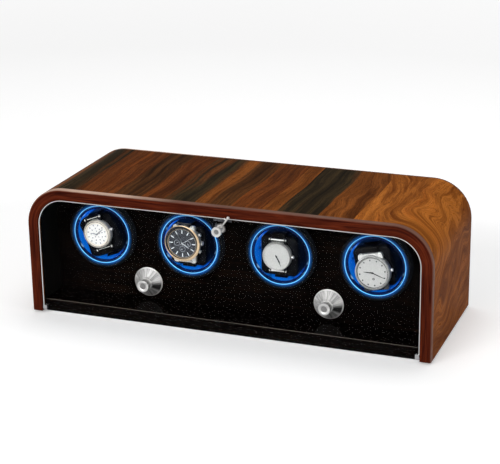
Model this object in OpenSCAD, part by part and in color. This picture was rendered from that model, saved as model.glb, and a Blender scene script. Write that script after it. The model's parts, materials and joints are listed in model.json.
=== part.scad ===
// Watch winder box for four watches: an arched wooden case with a drop-down glass door,
// four lit drums driven in pairs by two gear motors, and a removable watch cushion in each drum.
// Millimetres. +X is right, -Y is the front with the door, +Z is up, and the feet stand at z = 0.

/* [Case] */
// Overall width of the case
case_w = 540; // [480:1:620]
// Overall depth of the case, without the latch knob
case_d = 203; // [200:1:260]
// Overall height of the case, with its feet
case_h = 174; // [168:1:220]
// Outer radius of the two top corners
corner_r = 51; // [30:1:56]
// Thickness of the curved wall
wall = 14; // [10:0.5:18]
// Depth of the solid band round the front edge
front_band = 8; // [7.5:0.5:14]
// Depth of the solid band round the rear edge
rear_band = 5; // [4.5:0.5:10]
// Rounding of the outer edge of both bands
band_round = 2.5; // [0.5:0.5:4]
// Thickness of the base board
base_t = 15; // [12:1:20]
// Thickness of the lining of the display space
lining_t = 1.5; // [1:0.5:2.5]
// Thickness of the back panel
back_t = 4; // [3:0.5:6]
// Height of the feet
foot_h = 3; // [2.5:0.5:8]
// Radius of a foot
foot_r = 9; // [7:0.5:14]

/* [Door] */
// Thickness of the glass
glass_t = 4; // [3:0.5:5]
// Distance of the glass behind the front plane
glass_back = 2; // [1.5:0.5:3]
// Gap between the edge of the glass and the case
glass_gap = 1; // [0.5:0.1:2]
// Radius of a hinge pin
pin_r = 1.5; // [1:0.1:1.8]
// Distance that the latch knob stands out from the front plane
latch_proj = 15; // [12:1:24]
// Radius of the latch knob's cap
latch_cap_r = 6.3; // [5:0.1:9]
// Distance of the latch axis below the ceiling
latch_drop = 14; // [13:0.5:18]
// Length of the small lever on the latch knob
lever_len = 20; // [12:1:22]

/* [Drums] */
// Width left between the wall and the space of each outer drum
drum_side = 8; // [6:0.5:20]
// Distance of the drum axes below the ceiling
drum_drop = 57; // [53:1:62]
// Outer radius of a drum cup
cup_r = 37; // [36:0.5:38]
// Wall thickness of a drum cup
cup_wall = 2; // [1.5:0.5:2.5]
// Depth of a drum cup
cup_depth = 60; // [60:1:64]
// Width of a lit ring, measured along its radius
light_w = 2.5; // [1.5:0.1:3]
// Width of a bezel, measured along its radius
bezel_w = 6; // [4:0.5:8]
// Distance of the lit rings behind the front plane
ring_back = 44.5; // [44:0.5:48]
// Distance of the fascia behind the front plane
fascia_back = 53.5; // [52:0.5:56]
// Thickness of the fascia
fascia_t = 9; // [6:1:12]

/* [Selector knobs] */
// Height of a selector knob's axis above the base board
knob_rise = 24; // [22:1:26]
// Radius of a selector knob's flared skirt
skirt_r = 19.75; // [14:0.25:21]
// Radius of a selector knob's cap
cap_r = 8.3; // [6.5:0.1:10]
// Length of a selector knob
knob_len = 22; // [18:1:26]

/* [Drive] */
// Teeth of a drum gear
gear_teeth = 46; // [44:2:46]
// Teeth of a drive pinion
pinion_teeth = 16; // [14:2:18]
// Play between the teeth at the pitch circle
backlash = 0.35; // [0.2:0.05:0.6]
// Thickness of a drum gear
gear_t = 6; // [4:1:7]
// Radius of a drum spindle
spindle_r = 3; // [2.5:0.1:4]
// Thickness of a drive frame
frame_t = 3; // [2:0.5:5]

/* [Watches] */
// Width of a cushion
cushion_w = 50; // [40:1:52]
// Height of a cushion
cushion_h = 58; // [50:1:60]
// Depth of a cushion
cushion_d = 54; // [40:1:55]
// Distance of the watch faces behind the front plane
watch_back = 29.5; // [29:0.5:31]
// Thickness of the thinnest watch case
watch_t = 10; // [8:0.5:11]
// Thickness of a strap
strap_t = 2.2; // [1.5:0.1:2.4]
// Radius of each dial, from left to right
dial_r = [16.8, 19.6, 16.2, 20];
// Height of each watch above its drum's axis, from left to right
watch_rise = [4.4, 7, 2.6, -3.8];
// Distance of each watch to the right of its drum's axis, from left to right
watch_shift = [1.7, -2, 0, 0];
// Angle by which each holder stands turned in its drum, from left to right
watch_turn = [22, 0, 0, 12];
// Extra thickness of each watch case, from left to right
watch_extra = [0, 3, 0, 1];

/* [Hidden] */
$fn = 96;

// Clearances: a seated piece, a running shaft, and pieces that pass each other
seat_gap = 0.05;
run_gap = 0.05;
pass_gap = 0.8;
// Overshoot of a cut past the face that it opens
cut = 1;

// Case
front_y = (latch_proj - case_d) / 2;
rear_y = front_y + case_d;
inner_w = case_w - 2 * wall;
inner_r = corner_r - wall;
ceiling_z = case_h - wall;
floor_z = foot_h + base_t;
base_back = 8.7;
base_front = front_y + base_back;
back_inset = 4;
back_y = rear_y - back_inset - back_t;
fascia_y = front_y + fascia_back;
fascia_rear = fascia_y + fascia_t;
batten_w = 12;
batten_h = 82;
foot_in_x = 35;
foot_in_y = 30;
foot_xs = [-case_w / 2 + foot_in_x, case_w / 2 - foot_in_x];
foot_ys = [front_y + foot_in_y, rear_y - foot_in_y];
screw_r = 1.5;
screw_head_r = 3.2;
screw_head_t = 1.4;
screw_bite = 7;
screw_spare = 1;
foot_web = 0.8;
screw_clear = 0.5;
panel_gap = 2 * seat_gap;
panel_rise = 0.5;

// Door
glass_y = front_y + glass_back;
glass_rear = glass_y + glass_t;
glass_w = inner_w - 2 * glass_gap;
glass_rise = 1.5;
glass_low = foot_h + glass_rise;
glass_top = ceiling_z - glass_gap;
clip_w = 5;
clip_h = 7;
clip_top = foot_h + clip_h;
clip_lap = 1.5;
clip_skin = 1.1;
hinge_in = 1.6;
hinge_up = 3.8;
hinge_y = glass_y + hinge_in;
hinge_z = foot_h + hinge_up;
pin_sunk = 6;
pin_start = 2;
latch_z = ceiling_z - latch_drop;
latch_shaft_r = 3;
bush_r = 5;
bush_flange_r = 6.2;
bush_flange_t = 0.7;
bush_gap = 0.1;
cam_hub_r = 5;
cam_stand = 2;
cam_y = glass_rear + bush_flange_t + cam_stand;
cam_t = 2;
cam_head_gap = 3.2;
cam_len = latch_drop - cam_head_gap;
cam_w = 6;
strike_gap = 0.3;
strike_y = glass_rear + strike_gap;
strike_t = 1.5;
strike_w = 24;
strike_h = 7;
strike_deep = 13;
lever_angle = 36;
lever_r = 1.1;
lever_ball_r = 2;
lever_out = 4;
lever_pin = 4;
latch_cap_t = 6;
latch_waist = 3;
latch_dish_r = 3.6;
latch_dish = 1;
latch_button_r = 1.5;
latch_base_t = 2;

// Drums: equal spaces side by side, where each drum gear meets a pinion half-way to its neighbour
drum_count = len(dial_r);
drum_pitch = (inner_w - 2 * drum_side) / drum_count;
gear_module = drum_pitch / (gear_teeth + pinion_teeth);
drum_z = ceiling_z - drum_drop;
drum_xs = [for (i = [0:drum_count - 1]) (i - (drum_count - 1) / 2) * drum_pitch];
ring_y = front_y + ring_back;
cup_back = 1;
cup_y = ring_y + cup_back;
cup_rear = cup_y + cup_depth;
cup_floor = 3;
light_in = cup_r + pass_gap;
light_out = light_in + light_w;
bezel_in = light_out + seat_gap;
bezel_out = bezel_in + bezel_w;
bezel_seat = 2;
bezel_round = 2;
fascia_hole_r = bezel_out - bezel_seat;
led_t = 1.6;
led_w = 10;
led_out = light_in + led_w;

// Drive
pressure_angle = 20;
addendum = 0.85 * gear_module;
dedendum = 1.2 * gear_module;
gear_y = cup_rear;
gear_rear = gear_y + gear_t;
hub_r = 6;
hub_len = 2.2;
frame_gap = 6.5;
frame_y = gear_rear + frame_gap;
frame_rear = frame_y + frame_t;
bearing_r = 8;
bearing_gap = 0.3;
bearing_y = gear_rear + hub_len + bearing_gap;
bearing_len = 16;
clip_ring_t = 1;
clip_ring_r = 5.5;
groove_depth = 0.5;
spindle_tip = 2;
spindle_head_r = 8;
spindle_head_t = 2;
motor_r = 18.5;
motor_len = 20;
can_r = 12;
can_len = 26;
pinion_xs = [-drum_pitch, drum_pitch];
pinion_shaft_r = 2.5;
pinion_shaft_in = 11;
shaft_end_gap = 1;
motor_bore = pinion_shaft_in + shaft_end_gap;
shaft_room = 3;
frame_low = floor_z;
frame_over = 30;
frame_top = drum_z + bearing_r + frame_over;
frame_flange = 14;
frame_in = 12;
frame_side = 16;
frame_screw_in = 20;
gear_hole_r = 8;
gear_hole_at = 24;

// Selector knobs
knob_z = floor_z + knob_rise;
knob_gap = 0.8;
switch_w = 26;
switch_d = 14;
switch_shaft_r = 3;
switch_bush_r = 4.5;
switch_bush_len = 4;
switch_bore = 9;
knob_shaft_in = switch_bore - shaft_end_gap;
knob_socket_gap = 2;
knob_stem_in = 8;
skirt_edge = 0.6;
skirt_rim = 1.4;
skirt_top = 8.6;
collar_top = 9.8;
collar_out = 1;
collar_r = cap_r + collar_out;
stem_under = 1.1;
stem_r = cap_r - stem_under;
stem_low = 10.4;
cap_t = 6;
cap_edge = 0.8;
dish_in = 2.6;
dish_r = cap_r - dish_in;
dish_slope = 1.6;
dish_floor_r = dish_r - dish_slope;
dish_depth = 1;

// Watches
watch_y = front_y + watch_back;
cushion_y = watch_y + watch_t;
cushion_fit = 0.4;
cushion_round = 8;
bezel_steel = 2.4;
strap_ws = [17, 18, 17, 20];
strap_gap = 0.1;
lug_ts = [2.4, 5.4, 1.8, 5];
lug_reach = [4, 4.2, 4, 3];
lug_root = 7;
lug_back = 1.5;
lug_depth = 4.5;
bar_back = 3.8;
bar_r = 0.7;
bar_in = 1;
end_in = 0.5;
crown_back = 4.5;
crown_r = 2.3;
crown_len = 3;
crown_root = 0.5;
pusher_r = 1.8;
pusher_angle = 27;
pushered = 1;
end_reach = 3.6;
end_root = 2;
end_back = 2;
end_t = 3.5;
dial_dish = 1.5;
case_foot_w = 1.6;
case_foot_h = 2;
bezel_h = 3;
bezel_step = 0.8;
bezel_slope = 1.4;

// A box between two opposite corners
module span(a, b) {
  translate(a) cube(b - a);
}

// A cylinder along Y from y0 to y1
module y_rod(x, z, y0, y1, r) {
  translate([x, y1, z]) rotate([90, 0, 0]) cylinder(r = r, h = y1 - y0);
}

// A cylinder along X from x0 to x1
module x_rod(y, z, x0, x1, r) {
  translate([x0, y, z]) rotate([0, 90, 0]) cylinder(r = r, h = x1 - x0);
}

// A cylinder along Z from z0 to z1
module z_rod(x, y, z0, z1, r) {
  translate([x, y, z0]) cylinder(r = r, h = z1 - z0);
}

// A plain tube along Y
module y_tube(x, z, y0, y1, r_out, r_in) {
  difference() {
    y_rod(x, z, y0, y1, r_out);
    y_rod(x, z, y0 - cut, y1 + cut, r_in);
  }
}

// A flat outline drawn in X and Z, given thickness from y0 to y1
module plate(y0, y1) {
  translate([0, y1, 0]) rotate([90, 0, 0]) linear_extrude(y1 - y0) children();
}

// An outline drawn as radius against distance, turned about an axis that points forward from y
module spun(x, y, z) {
  translate([x, y, z]) rotate([90, 0, 0]) rotate_extrude() children();
}

// A flat-bottomed outline with two rounded top corners
module arch(w, low, top, r) {
  translate([-w / 2, low]) square([w, top - low - r]);
  translate([-w / 2 + r, low]) square([w - 2 * r, top - low]);
  for (s = [-1, 1]) translate([s * (w / 2 - r), top - r]) circle(r = r);
}

// A section carried round the two legs, the two corners and the top of the case;
// the section has the outside of the case at x = 0 and its front at the largest y
module round_case(y) {
  translate([-case_w / 2 + corner_r, y, case_h])
    rotate([0, -90, 180]) linear_extrude(case_w - 2 * corner_r) children();
  for (s = [0, 1]) mirror([s, 0, 0]) {
    translate([case_w / 2 - corner_r, y, case_h - corner_r])
      rotate([90, 0, 0]) rotate_extrude(angle = 90) translate([corner_r, 0]) children();
    translate([case_w / 2, y, case_h - corner_r])
      rotate([180, 0, 0]) linear_extrude(case_h - corner_r - foot_h) children();
  }
}

// The section of an edge band: a strip of the wall with its outer edge rounded at the far side
module band_section(depth) {
  translate([-wall, 0]) square([wall, depth - band_round]);
  translate([-wall, 0]) square([wall - band_round, depth]);
  translate([-band_round, depth - band_round]) circle(r = band_round);
}

// A pan-head screw along Y, its head at the rear
module y_screw(x, z, y_head, len) {
  y_rod(x, z, y_head - len, y_head, screw_r);
  y_rod(x, z, y_head, y_head + screw_head_t, screw_head_r);
}

// A pan-head screw along Z, its head at the top
module down_screw(x, y, z_head, len) {
  z_rod(x, y, z_head - len, z_head, screw_r);
  z_rod(x, y, z_head, z_head + screw_head_t, screw_head_r);
}

// The wooden wall of the case
module case_shell() {
  color("#7a4524") plate(front_y + front_band, rear_y - rear_band) difference() {
    arch(case_w, foot_h, case_h, corner_r);
    arch(inner_w, foot_h - cut, ceiling_z, inner_r);
  }
}

// The solid band round the front edge, drilled for the hinge pins
module front_edge_band() {
  color("#5a2416") difference() {
    round_case(front_y + front_band) band_section(front_band);
    for (s = [0, 1]) mirror([s, 0, 0])
      x_rod(hinge_y, hinge_z, inner_w / 2 - cut, inner_w / 2 + pin_sunk + seat_gap, pin_r + seat_gap);
  }
}

// The solid band round the rear edge
module rear_edge_band() {
  color("#4a1f14") translate([0, 2 * (rear_y - rear_band), 0]) mirror([0, 1, 0])
    round_case(rear_y - rear_band) band_section(rear_band);
}

// Sides of a drive frame, and places of the screws that hold it down
frame_screw_y = frame_rear + frame_flange / 2;
frame_xs = [frame_in, inner_w / 2 - frame_side];
frame_screw_xs = [frame_xs[0] + frame_screw_in, frame_xs[1] - frame_screw_in];

// The base board, which is also the floor of the display space
module base_board() {
  color("#120e0d") difference() {
    span([-inner_w / 2, base_front, foot_h], [inner_w / 2, back_y, floor_z]);
    for (x = foot_xs, y = foot_ys)
      z_rod(x, y, foot_h - cut, foot_h + screw_bite, screw_r + seat_gap);
    for (s = [-1, 1], x = frame_screw_xs)
      z_rod(s * x, frame_screw_y, floor_z - screw_bite - screw_spare, floor_z + cut, screw_r + seat_gap);
  }
}

// The gloss lining round the sides and top of the display space
module recess_lining() {
  color("#151111") difference() {
    plate(base_front, fascia_y) difference() {
      arch(inner_w, floor_z, ceiling_z, inner_r);
      arch(inner_w - 2 * lining_t, floor_z - cut, ceiling_z - lining_t, inner_r - lining_t);
    }
    span([-strike_w / 2 - cut, base_front - cut, ceiling_z - lining_t - cut],
         [strike_w / 2 + cut, strike_y + strike_t + strike_deep + cut, ceiling_z + cut]);
  }
}

// Four rubber feet with a recess for the screw head
module rubber_feet() {
  color("#1a1a1a") for (x = foot_xs, y = foot_ys) difference() {
    z_rod(x, y, 0, foot_h, foot_r);
    z_rod(x, y, -cut, foot_h - foot_web, screw_head_r + screw_clear);
    z_rod(x, y, -cut, foot_h + cut, screw_r + seat_gap);
  }
}

// The screws that hold the feet
module foot_screws() {
  color("#b8b8b8") for (x = foot_xs, y = foot_ys) {
    z_rod(x, y, foot_h - foot_web - screw_head_t / 2, foot_h - foot_web, screw_head_r);
    z_rod(x, y, foot_h - foot_web, foot_h + screw_bite - screw_spare, screw_r);
  }
}

// Inner face of the right battens, and heights of the screws in the rear ones
batten_x = inner_w / 2 - batten_w;
back_screw_zs = [floor_z + batten_w * 1.5, floor_z + batten_h - batten_w];

// Position and sizes of the power inlet on the back panel
inlet_side = 66;
inlet_x = inner_w / 2 - inlet_side;
inlet_rise = 18;
inlet_z = floor_z + inlet_rise;
inlet_w = 14;
inlet_deep = 9;
inlet_proud = 1;
inlet_bore_r = 3.2;
inlet_bore = 5;
inlet_pin_r = 1;
inlet_pin_back = 0.5;

// The back panel, with the opening for the power inlet
module back_panel() {
  color("#1c1817") difference() {
    plate(back_y, back_y + back_t)
      arch(inner_w - 2 * panel_gap, foot_h + panel_rise, ceiling_z - panel_gap, inner_r - panel_gap);
    span([inlet_x - inlet_w / 2 - seat_gap, back_y - cut, inlet_z - inlet_w / 2 - seat_gap],
         [inlet_x + inlet_w / 2 + seat_gap, back_y + back_t + cut, inlet_z + inlet_w / 2 + seat_gap]);
    for (s = [-1, 1], z = back_screw_zs)
      y_rod(s * (batten_x + batten_w / 2), z, back_y - cut, back_y + back_t + cut, screw_r + seat_gap);
  }
}

// The screws that hold the back panel to the rear battens
module back_panel_screws() {
  color("#202020") for (s = [-1, 1], z = back_screw_zs)
    y_screw(s * (batten_x + batten_w / 2), z, back_y + back_t, back_t + screw_bite);
}

// The gloss fascia behind the bezels, with round openings for the drums and holes for the switches
module fascia_panel() {
  color("#1a1311") difference() {
    plate(fascia_y, fascia_rear)
      arch(inner_w - 2 * panel_gap, floor_z, ceiling_z - panel_gap, inner_r - panel_gap);
    for (x = drum_xs) y_rod(x, drum_z, fascia_y - cut, fascia_rear + cut, fascia_hole_r);
    for (x = pinion_xs) y_rod(x, knob_z, fascia_y - cut, fascia_rear + cut, switch_bush_r + seat_gap);
  }
}

// Upright battens in the corners, behind the fascia and in front of the back panel
module corner_battens() {
  color("#8d6b46") difference() {
    for (s = [0, 1], y = [fascia_rear, back_y - batten_w]) mirror([s, 0, 0])
      span([batten_x, y, floor_z], [inner_w / 2, y + batten_w, floor_z + batten_h]);
    for (s = [-1, 1], z = back_screw_zs)
      y_rod(s * (batten_x + batten_w / 2), z, back_y - screw_bite - screw_spare, back_y + cut,
            screw_r + seat_gap);
  }
}

// The dark bezels round the drums, standing out from the fascia and seated in its openings
module drum_bezels() {
  color("#0d0d12") for (x = drum_xs) spun(x, fascia_y, drum_z) {
    translate([bezel_in, -fascia_t]) square([fascia_hole_r - seat_gap - bezel_in, fascia_t + cut]);
    translate([bezel_in, 0]) square([bezel_w - bezel_round, fascia_y - ring_y]);
    translate([bezel_in, 0]) square([bezel_w, fascia_y - ring_y - bezel_round]);
    translate([bezel_out - bezel_round, fascia_y - ring_y - bezel_round]) circle(r = bezel_round);
  }
}

// The clear blue rings that carry the light forward round each drum
module light_rings() {
  color("#3fa0ff") for (x = drum_xs)
    y_tube(x, drum_z, ring_y, fascia_rear, light_out, light_in);
}

// The ring-shaped boards that light them from behind the fascia
module led_boards() {
  color("#dfe6dd") for (x = drum_xs)
    y_tube(x, drum_z, fascia_rear, fascia_rear + led_t, led_out, light_in);
}

// A drive frame: an upright plate with a foot, drilled for two bearings and a motor
module drive_frame(s) {
  color("#9aa0a6") difference() {
    mirror([s, 0, 0]) {
      span([frame_xs[0], frame_y, frame_low], [frame_xs[1], frame_rear, frame_top]);
      span([frame_xs[0], frame_y, frame_low], [frame_xs[1], frame_rear + frame_flange, frame_low + frame_t]);
    }
    for (x = drum_xs) y_rod(x, drum_z, frame_y - cut, frame_rear + cut, bearing_r + seat_gap);
    for (x = pinion_xs) y_rod(x, drum_z, frame_y - cut, frame_rear + cut, pinion_shaft_r + shaft_room);
    for (m = [-1, 1], x = frame_screw_xs)
      z_rod(m * x, frame_screw_y, frame_low - cut, frame_low + frame_t + cut, screw_r + seat_gap);
  }
}

module drive_frame_left() { drive_frame(1); }
module drive_frame_right() { drive_frame(0); }

// The screws that hold both drive frames to the base board
module drive_frame_screws() {
  color("#b8b8b8") for (s = [-1, 1], x = frame_screw_xs)
    down_screw(s * x, frame_screw_y, frame_low + frame_t, frame_t + screw_bite);
}

// The plain bearings of the drum spindles
module spindle_bearings() {
  color("#b08d4a") for (x = drum_xs)
    y_tube(x, drum_z, bearing_y, bearing_y + bearing_len, bearing_r, spindle_r + run_gap);
}

// A gear motor on the back of its drive frame, bored for the pinion's shaft
module gear_motor(x) {
  color("#6d7278") difference() {
    union() {
      y_rod(x, drum_z, frame_rear, frame_rear + motor_len, motor_r);
      y_rod(x, drum_z, frame_rear + motor_len, frame_rear + motor_len + can_len, can_r);
    }
    y_rod(x, drum_z, frame_rear - cut, frame_rear + motor_bore, pinion_shaft_r + run_gap);
  }
}

module gear_motor_left() { gear_motor(pinion_xs[0]); }
module gear_motor_right() { gear_motor(pinion_xs[1]); }

// The control board on its pillars, with its larger parts
board_w = 90;
board_d = 24;
board_back = 34;
board_y = back_y - board_back;
board_lift = 6;
board_z = floor_z + board_lift;
pillar_r = 2.5;
pillar_in = 5;
chip_w = 12;
chip_d = 10;
chip_h = 5;
chip_in = 7;
chip_pitch = 28;
module control_board() {
  color("#1f6b3a") {
    span([-board_w / 2, board_y, board_z], [board_w / 2, board_y + board_d, board_z + led_t]);
    for (x = [-board_w / 2 + pillar_in, board_w / 2 - pillar_in],
         y = [board_y + pillar_in, board_y + board_d - pillar_in])
      z_rod(x, y, floor_z, board_z, pillar_r);
    for (x = [-chip_pitch, 0, chip_pitch])
      translate([x - chip_w / 2, board_y + chip_in, board_z + led_t]) cube([chip_w, chip_d, chip_h]);
  }
}

// The two rotary switches behind the fascia, each with a bush that carries its knob's shaft
module selector_switches() {
  color("#2b2b2e") for (x = pinion_xs) difference() {
    union() {
      span([x - switch_w / 2, fascia_rear, knob_z - switch_w / 2],
           [x + switch_w / 2, fascia_rear + switch_d, knob_z + switch_w / 2]);
      y_rod(x, knob_z, fascia_y - switch_bush_len, fascia_rear, switch_bush_r);
    }
    y_rod(x, knob_z, fascia_y - switch_bush_len - cut, fascia_rear + switch_bore,
          switch_shaft_r + run_gap);
  }
}

// The power inlet in the back panel, a round socket with a centre pin
module dc_inlet() {
  color("#101010") {
    difference() {
      span([inlet_x - inlet_w / 2, back_y - inlet_deep, inlet_z - inlet_w / 2],
           [inlet_x + inlet_w / 2, back_y + back_t + inlet_proud, inlet_z + inlet_w / 2]);
      y_rod(inlet_x, inlet_z, back_y - inlet_bore, back_y + back_t + inlet_proud + cut, inlet_bore_r);
    }
    y_rod(inlet_x, inlet_z, back_y - inlet_bore - cut, back_y + back_t - inlet_pin_back, inlet_pin_r);
  }
}

// The strike under the ceiling: the closed glass rests on its face and the latch turns behind it
module latch_strike() {
  color("#c9ccd0") {
    span([-strike_w / 2, strike_y, ceiling_z - strike_h], [strike_w / 2, strike_y + strike_t, ceiling_z]);
    span([-strike_w / 2, strike_y, ceiling_z - strike_t],
         [strike_w / 2, strike_y + strike_t + strike_deep, ceiling_z]);
  }
}

// The two pins that the door turns on, seated in the front band
module hinge_pins() {
  color("#d8dade") for (s = [0, 1]) mirror([s, 0, 0])
    x_rod(hinge_y, hinge_z, glass_w / 2 - clip_w + pin_start, inner_w / 2 + pin_sunk, pin_r);
}

// The glass door, notched at the bottom corners for its clips and drilled for the latch
module glass_door() {
  color("#dff0f5", 0.3) difference() {
    plate(glass_y, glass_rear) arch(glass_w, glass_low, glass_top, inner_r - glass_gap);
    for (s = [0, 1]) mirror([s, 0, 0])
      span([glass_w / 2 - clip_w - seat_gap, glass_y - cut, glass_low - cut],
           [glass_w / 2 + cut, glass_rear + cut, clip_top + seat_gap]);
    y_rod(0, latch_z, glass_y - cut, glass_rear + cut, bush_r + seat_gap);
  }
}

// The metal clips bonded into the corners of the glass, bored for the hinge pins
module hinge_clips() {
  color("#d0d3d8") for (s = [0, 1]) mirror([s, 0, 0]) difference() {
    union() {
      x_rod(hinge_y, hinge_z, glass_w / 2 - clip_w, glass_w / 2, pin_r + run_gap + clip_skin);
      span([glass_w / 2 - clip_w, glass_y - clip_skin, hinge_z],
           [glass_w / 2, glass_rear + clip_skin, clip_top]);
      for (y = [glass_y - clip_skin, glass_rear])
        span([glass_w / 2 - clip_w, y, clip_top - cut], [glass_w / 2, y + clip_skin, clip_top + clip_lap]);
    }
    x_rod(hinge_y, hinge_z, glass_w / 2 - clip_w - cut, glass_w / 2 + cut, pin_r + run_gap);
  }
}

// The bush that lines the hole in the glass, with a flange on each side
module latch_bushing() {
  color("#e6e6e6") difference() {
    union() {
      y_rod(0, latch_z, glass_y - bush_flange_t, glass_rear + bush_flange_t, bush_r);
      y_rod(0, latch_z, glass_y - bush_flange_t, glass_y, bush_flange_r);
      y_rod(0, latch_z, glass_rear, glass_rear + bush_flange_t, bush_flange_r);
    }
    y_rod(0, latch_z, glass_y - bush_flange_t - cut, glass_rear + bush_flange_t + cut,
          latch_shaft_r + run_gap);
  }
}

// The spool-shaped latch knob with a dished cap, its shaft and its small lever
knob_seat_y = glass_y - bush_flange_t - bush_gap;
latch_len = knob_seat_y - front_y + latch_proj;
neck_r = 3;
module door_knob() {
  color("#e2e4e8") {
    spun(0, knob_seat_y, latch_z) {
      square([bush_r, latch_base_t]);
      square([neck_r, latch_len - latch_dish - cut]);
      difference() {
        translate([0, latch_len - latch_cap_t]) square([latch_cap_r, latch_cap_t]);
        translate([latch_cap_r + latch_waist / 2, latch_len - latch_cap_t]) circle(r = latch_waist);
        translate([latch_button_r, latch_len - latch_dish])
          square([latch_dish_r - latch_button_r, latch_dish + cut]);
      }
    }
    y_rod(0, latch_z, knob_seat_y, cam_y + cam_t + cut, latch_shaft_r);
    translate([0, front_y - lever_out, latch_z]) rotate([0, lever_angle, 0]) {
      cylinder(r = lever_r, h = lever_len);
      translate([0, 0, lever_len]) sphere(r = lever_ball_r);
      translate([0, 0, lever_len - lever_pin]) rotate([0, -90, 0]) cylinder(r = lever_r, h = lever_pin);
    }
  }
}

// The tongue behind the glass, which turns up behind the strike
module latch_cam() {
  color("#c9ccd0") difference() {
    union() {
      y_rod(0, latch_z, glass_rear + bush_flange_t + bush_gap, cam_y + cam_t, cam_hub_r);
      span([-cam_len, cam_y, latch_z - cam_w / 2], [0, cam_y + cam_t, latch_z + cam_w / 2]);
    }
    y_rod(0, latch_z, glass_rear, cam_y + cam_t + 2 * cut, latch_shaft_r + seat_gap / 2);
  }
}

// A spun selector knob: a flared skirt, a stepped stem and a dished cap, on its switch shaft
module selector_knob(x) {
  color("#c8cbd0") {
    spun(x, fascia_y - knob_gap, knob_z) difference() {
      polygon([
        [0, 0], [skirt_r - skirt_edge, 0], [skirt_r, skirt_edge], [skirt_r, skirt_rim],
        [collar_r, skirt_top], [collar_r, collar_top], [stem_r, stem_low],
        [stem_r, knob_len - cap_t - knob_gap], [cap_r, knob_len - cap_t],
        [cap_r, knob_len - knob_gap - cap_edge], [cap_r - cap_edge, knob_len - knob_gap],
        [dish_r, knob_len - knob_gap], [dish_floor_r, knob_len - knob_gap - dish_depth],
        [0, knob_len - knob_gap - dish_depth]
      ]);
      translate([0, -cut])
        square([switch_bush_r + knob_socket_gap, switch_bush_len + knob_gap + cut]);
    }
    y_rod(x, knob_z, fascia_y - knob_gap - knob_stem_in, fascia_rear + knob_shaft_in, switch_shaft_r);
  }
}

module selector_knob_left() { selector_knob(pinion_xs[0]); }
module selector_knob_right() { selector_knob(pinion_xs[1]); }

// Involute gear geometry
function pitch_r(teeth) = gear_module * teeth / 2;
function base_r(teeth) = pitch_r(teeth) * cos(pressure_angle);
function involute(angle) = tan(angle) * 180 / PI - angle;
// Half the angle that a tooth covers at radius r
function half_tooth(teeth, r) =
  90 / teeth - backlash / (4 * pitch_r(teeth)) * 180 / PI
  + involute(pressure_angle) - involute(acos(min(1, base_r(teeth) / r)));
function flank_low(teeth) = max(base_r(teeth), pitch_r(teeth) - dedendum);
function flank_r(teeth, k) =
  flank_low(teeth) + (pitch_r(teeth) + addendum - flank_low(teeth)) * k / flank_steps;
flank_steps = 4;
root_relief = 1.2;

// A gear outline whose first tooth points at the angle start
module gear_outline(teeth, start) {
  polygon([
    for (i = [0:teeth - 1])
      let (a = start + i * 360 / teeth,
           root = pitch_r(teeth) - dedendum,
           w = half_tooth(teeth, flank_low(teeth)) - (flank_low(teeth) > root ? root_relief : 0))
        each concat(
          [root * [cos(a - w), sin(a - w)]],
          [for (k = [0:flank_steps]) let (r = flank_r(teeth, k), h = half_tooth(teeth, r))
            r * [cos(a - h), sin(a - h)]],
          [for (k = [flank_steps:-1:0]) let (r = flank_r(teeth, k), h = half_tooth(teeth, r))
            r * [cos(a + h), sin(a + h)]],
          [root * [cos(a + w), sin(a + w)]]
        )
  ]);
}

// A brass drive pinion turned in one piece with its shaft, which the motor turns
module drive_pinion(x) {
  color("#b8923f") {
    translate([x, gear_rear, drum_z]) rotate([90, 0, 0])
      linear_extrude(gear_t) gear_outline(pinion_teeth, 180 / pinion_teeth);
    y_rod(x, drum_z, gear_y, frame_rear + pinion_shaft_in, pinion_shaft_r);
  }
}

module drive_pinion_left() { drive_pinion(pinion_xs[0]); }
module drive_pinion_right() { drive_pinion(pinion_xs[1]); }

// A drum cup, open at the front, with a bored floor
module drum_cup(i) {
  color("#0a2f9a") difference() {
    y_rod(drum_xs[i], drum_z, cup_y, cup_rear, cup_r);
    y_rod(drum_xs[i], drum_z, cup_y - cut, cup_rear - cup_floor, cup_r - cup_wall);
    y_rod(drum_xs[i], drum_z, cup_y, cup_rear + cut, spindle_r + seat_gap);
  }
}

// The ring gear behind a drum cup, lightened by round holes, with a hub at the rear
module drum_gear(i) {
  color("#e8e4d8") difference() {
    union() {
      translate([drum_xs[i], gear_rear, drum_z]) rotate([90, 0, 0])
        linear_extrude(gear_t) gear_outline(gear_teeth, 0);
      y_rod(drum_xs[i], drum_z, gear_rear, gear_rear + hub_len, hub_r);
    }
    y_rod(drum_xs[i], drum_z, gear_y - cut, gear_rear + hub_len + cut, spindle_r + seat_gap);
    for (a = [0:60:300])
      y_rod(drum_xs[i] + gear_hole_at * cos(a), drum_z + gear_hole_at * sin(a),
            gear_y - cut, gear_rear + cut, gear_hole_r);
  }
}

// A drum spindle: a headed shaft held behind its bearing by a ring in a groove
module drum_spindle(i) {
  groove_y = bearing_y + bearing_len + bearing_gap;
  color("#d8dade") {
    difference() {
      union() {
        y_rod(drum_xs[i], drum_z, cup_rear - cup_floor, groove_y + clip_ring_t + spindle_tip, spindle_r);
        y_rod(drum_xs[i], drum_z, cup_rear - cup_floor - spindle_head_t, cup_rear - cup_floor,
              spindle_head_r);
      }
      y_tube(drum_xs[i], drum_z, groove_y, groove_y + clip_ring_t, spindle_r + cut,
             spindle_r - groove_depth);
    }
    y_tube(drum_xs[i], drum_z, groove_y, groove_y + clip_ring_t, clip_ring_r, spindle_r - groove_depth);
  }
}

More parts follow.
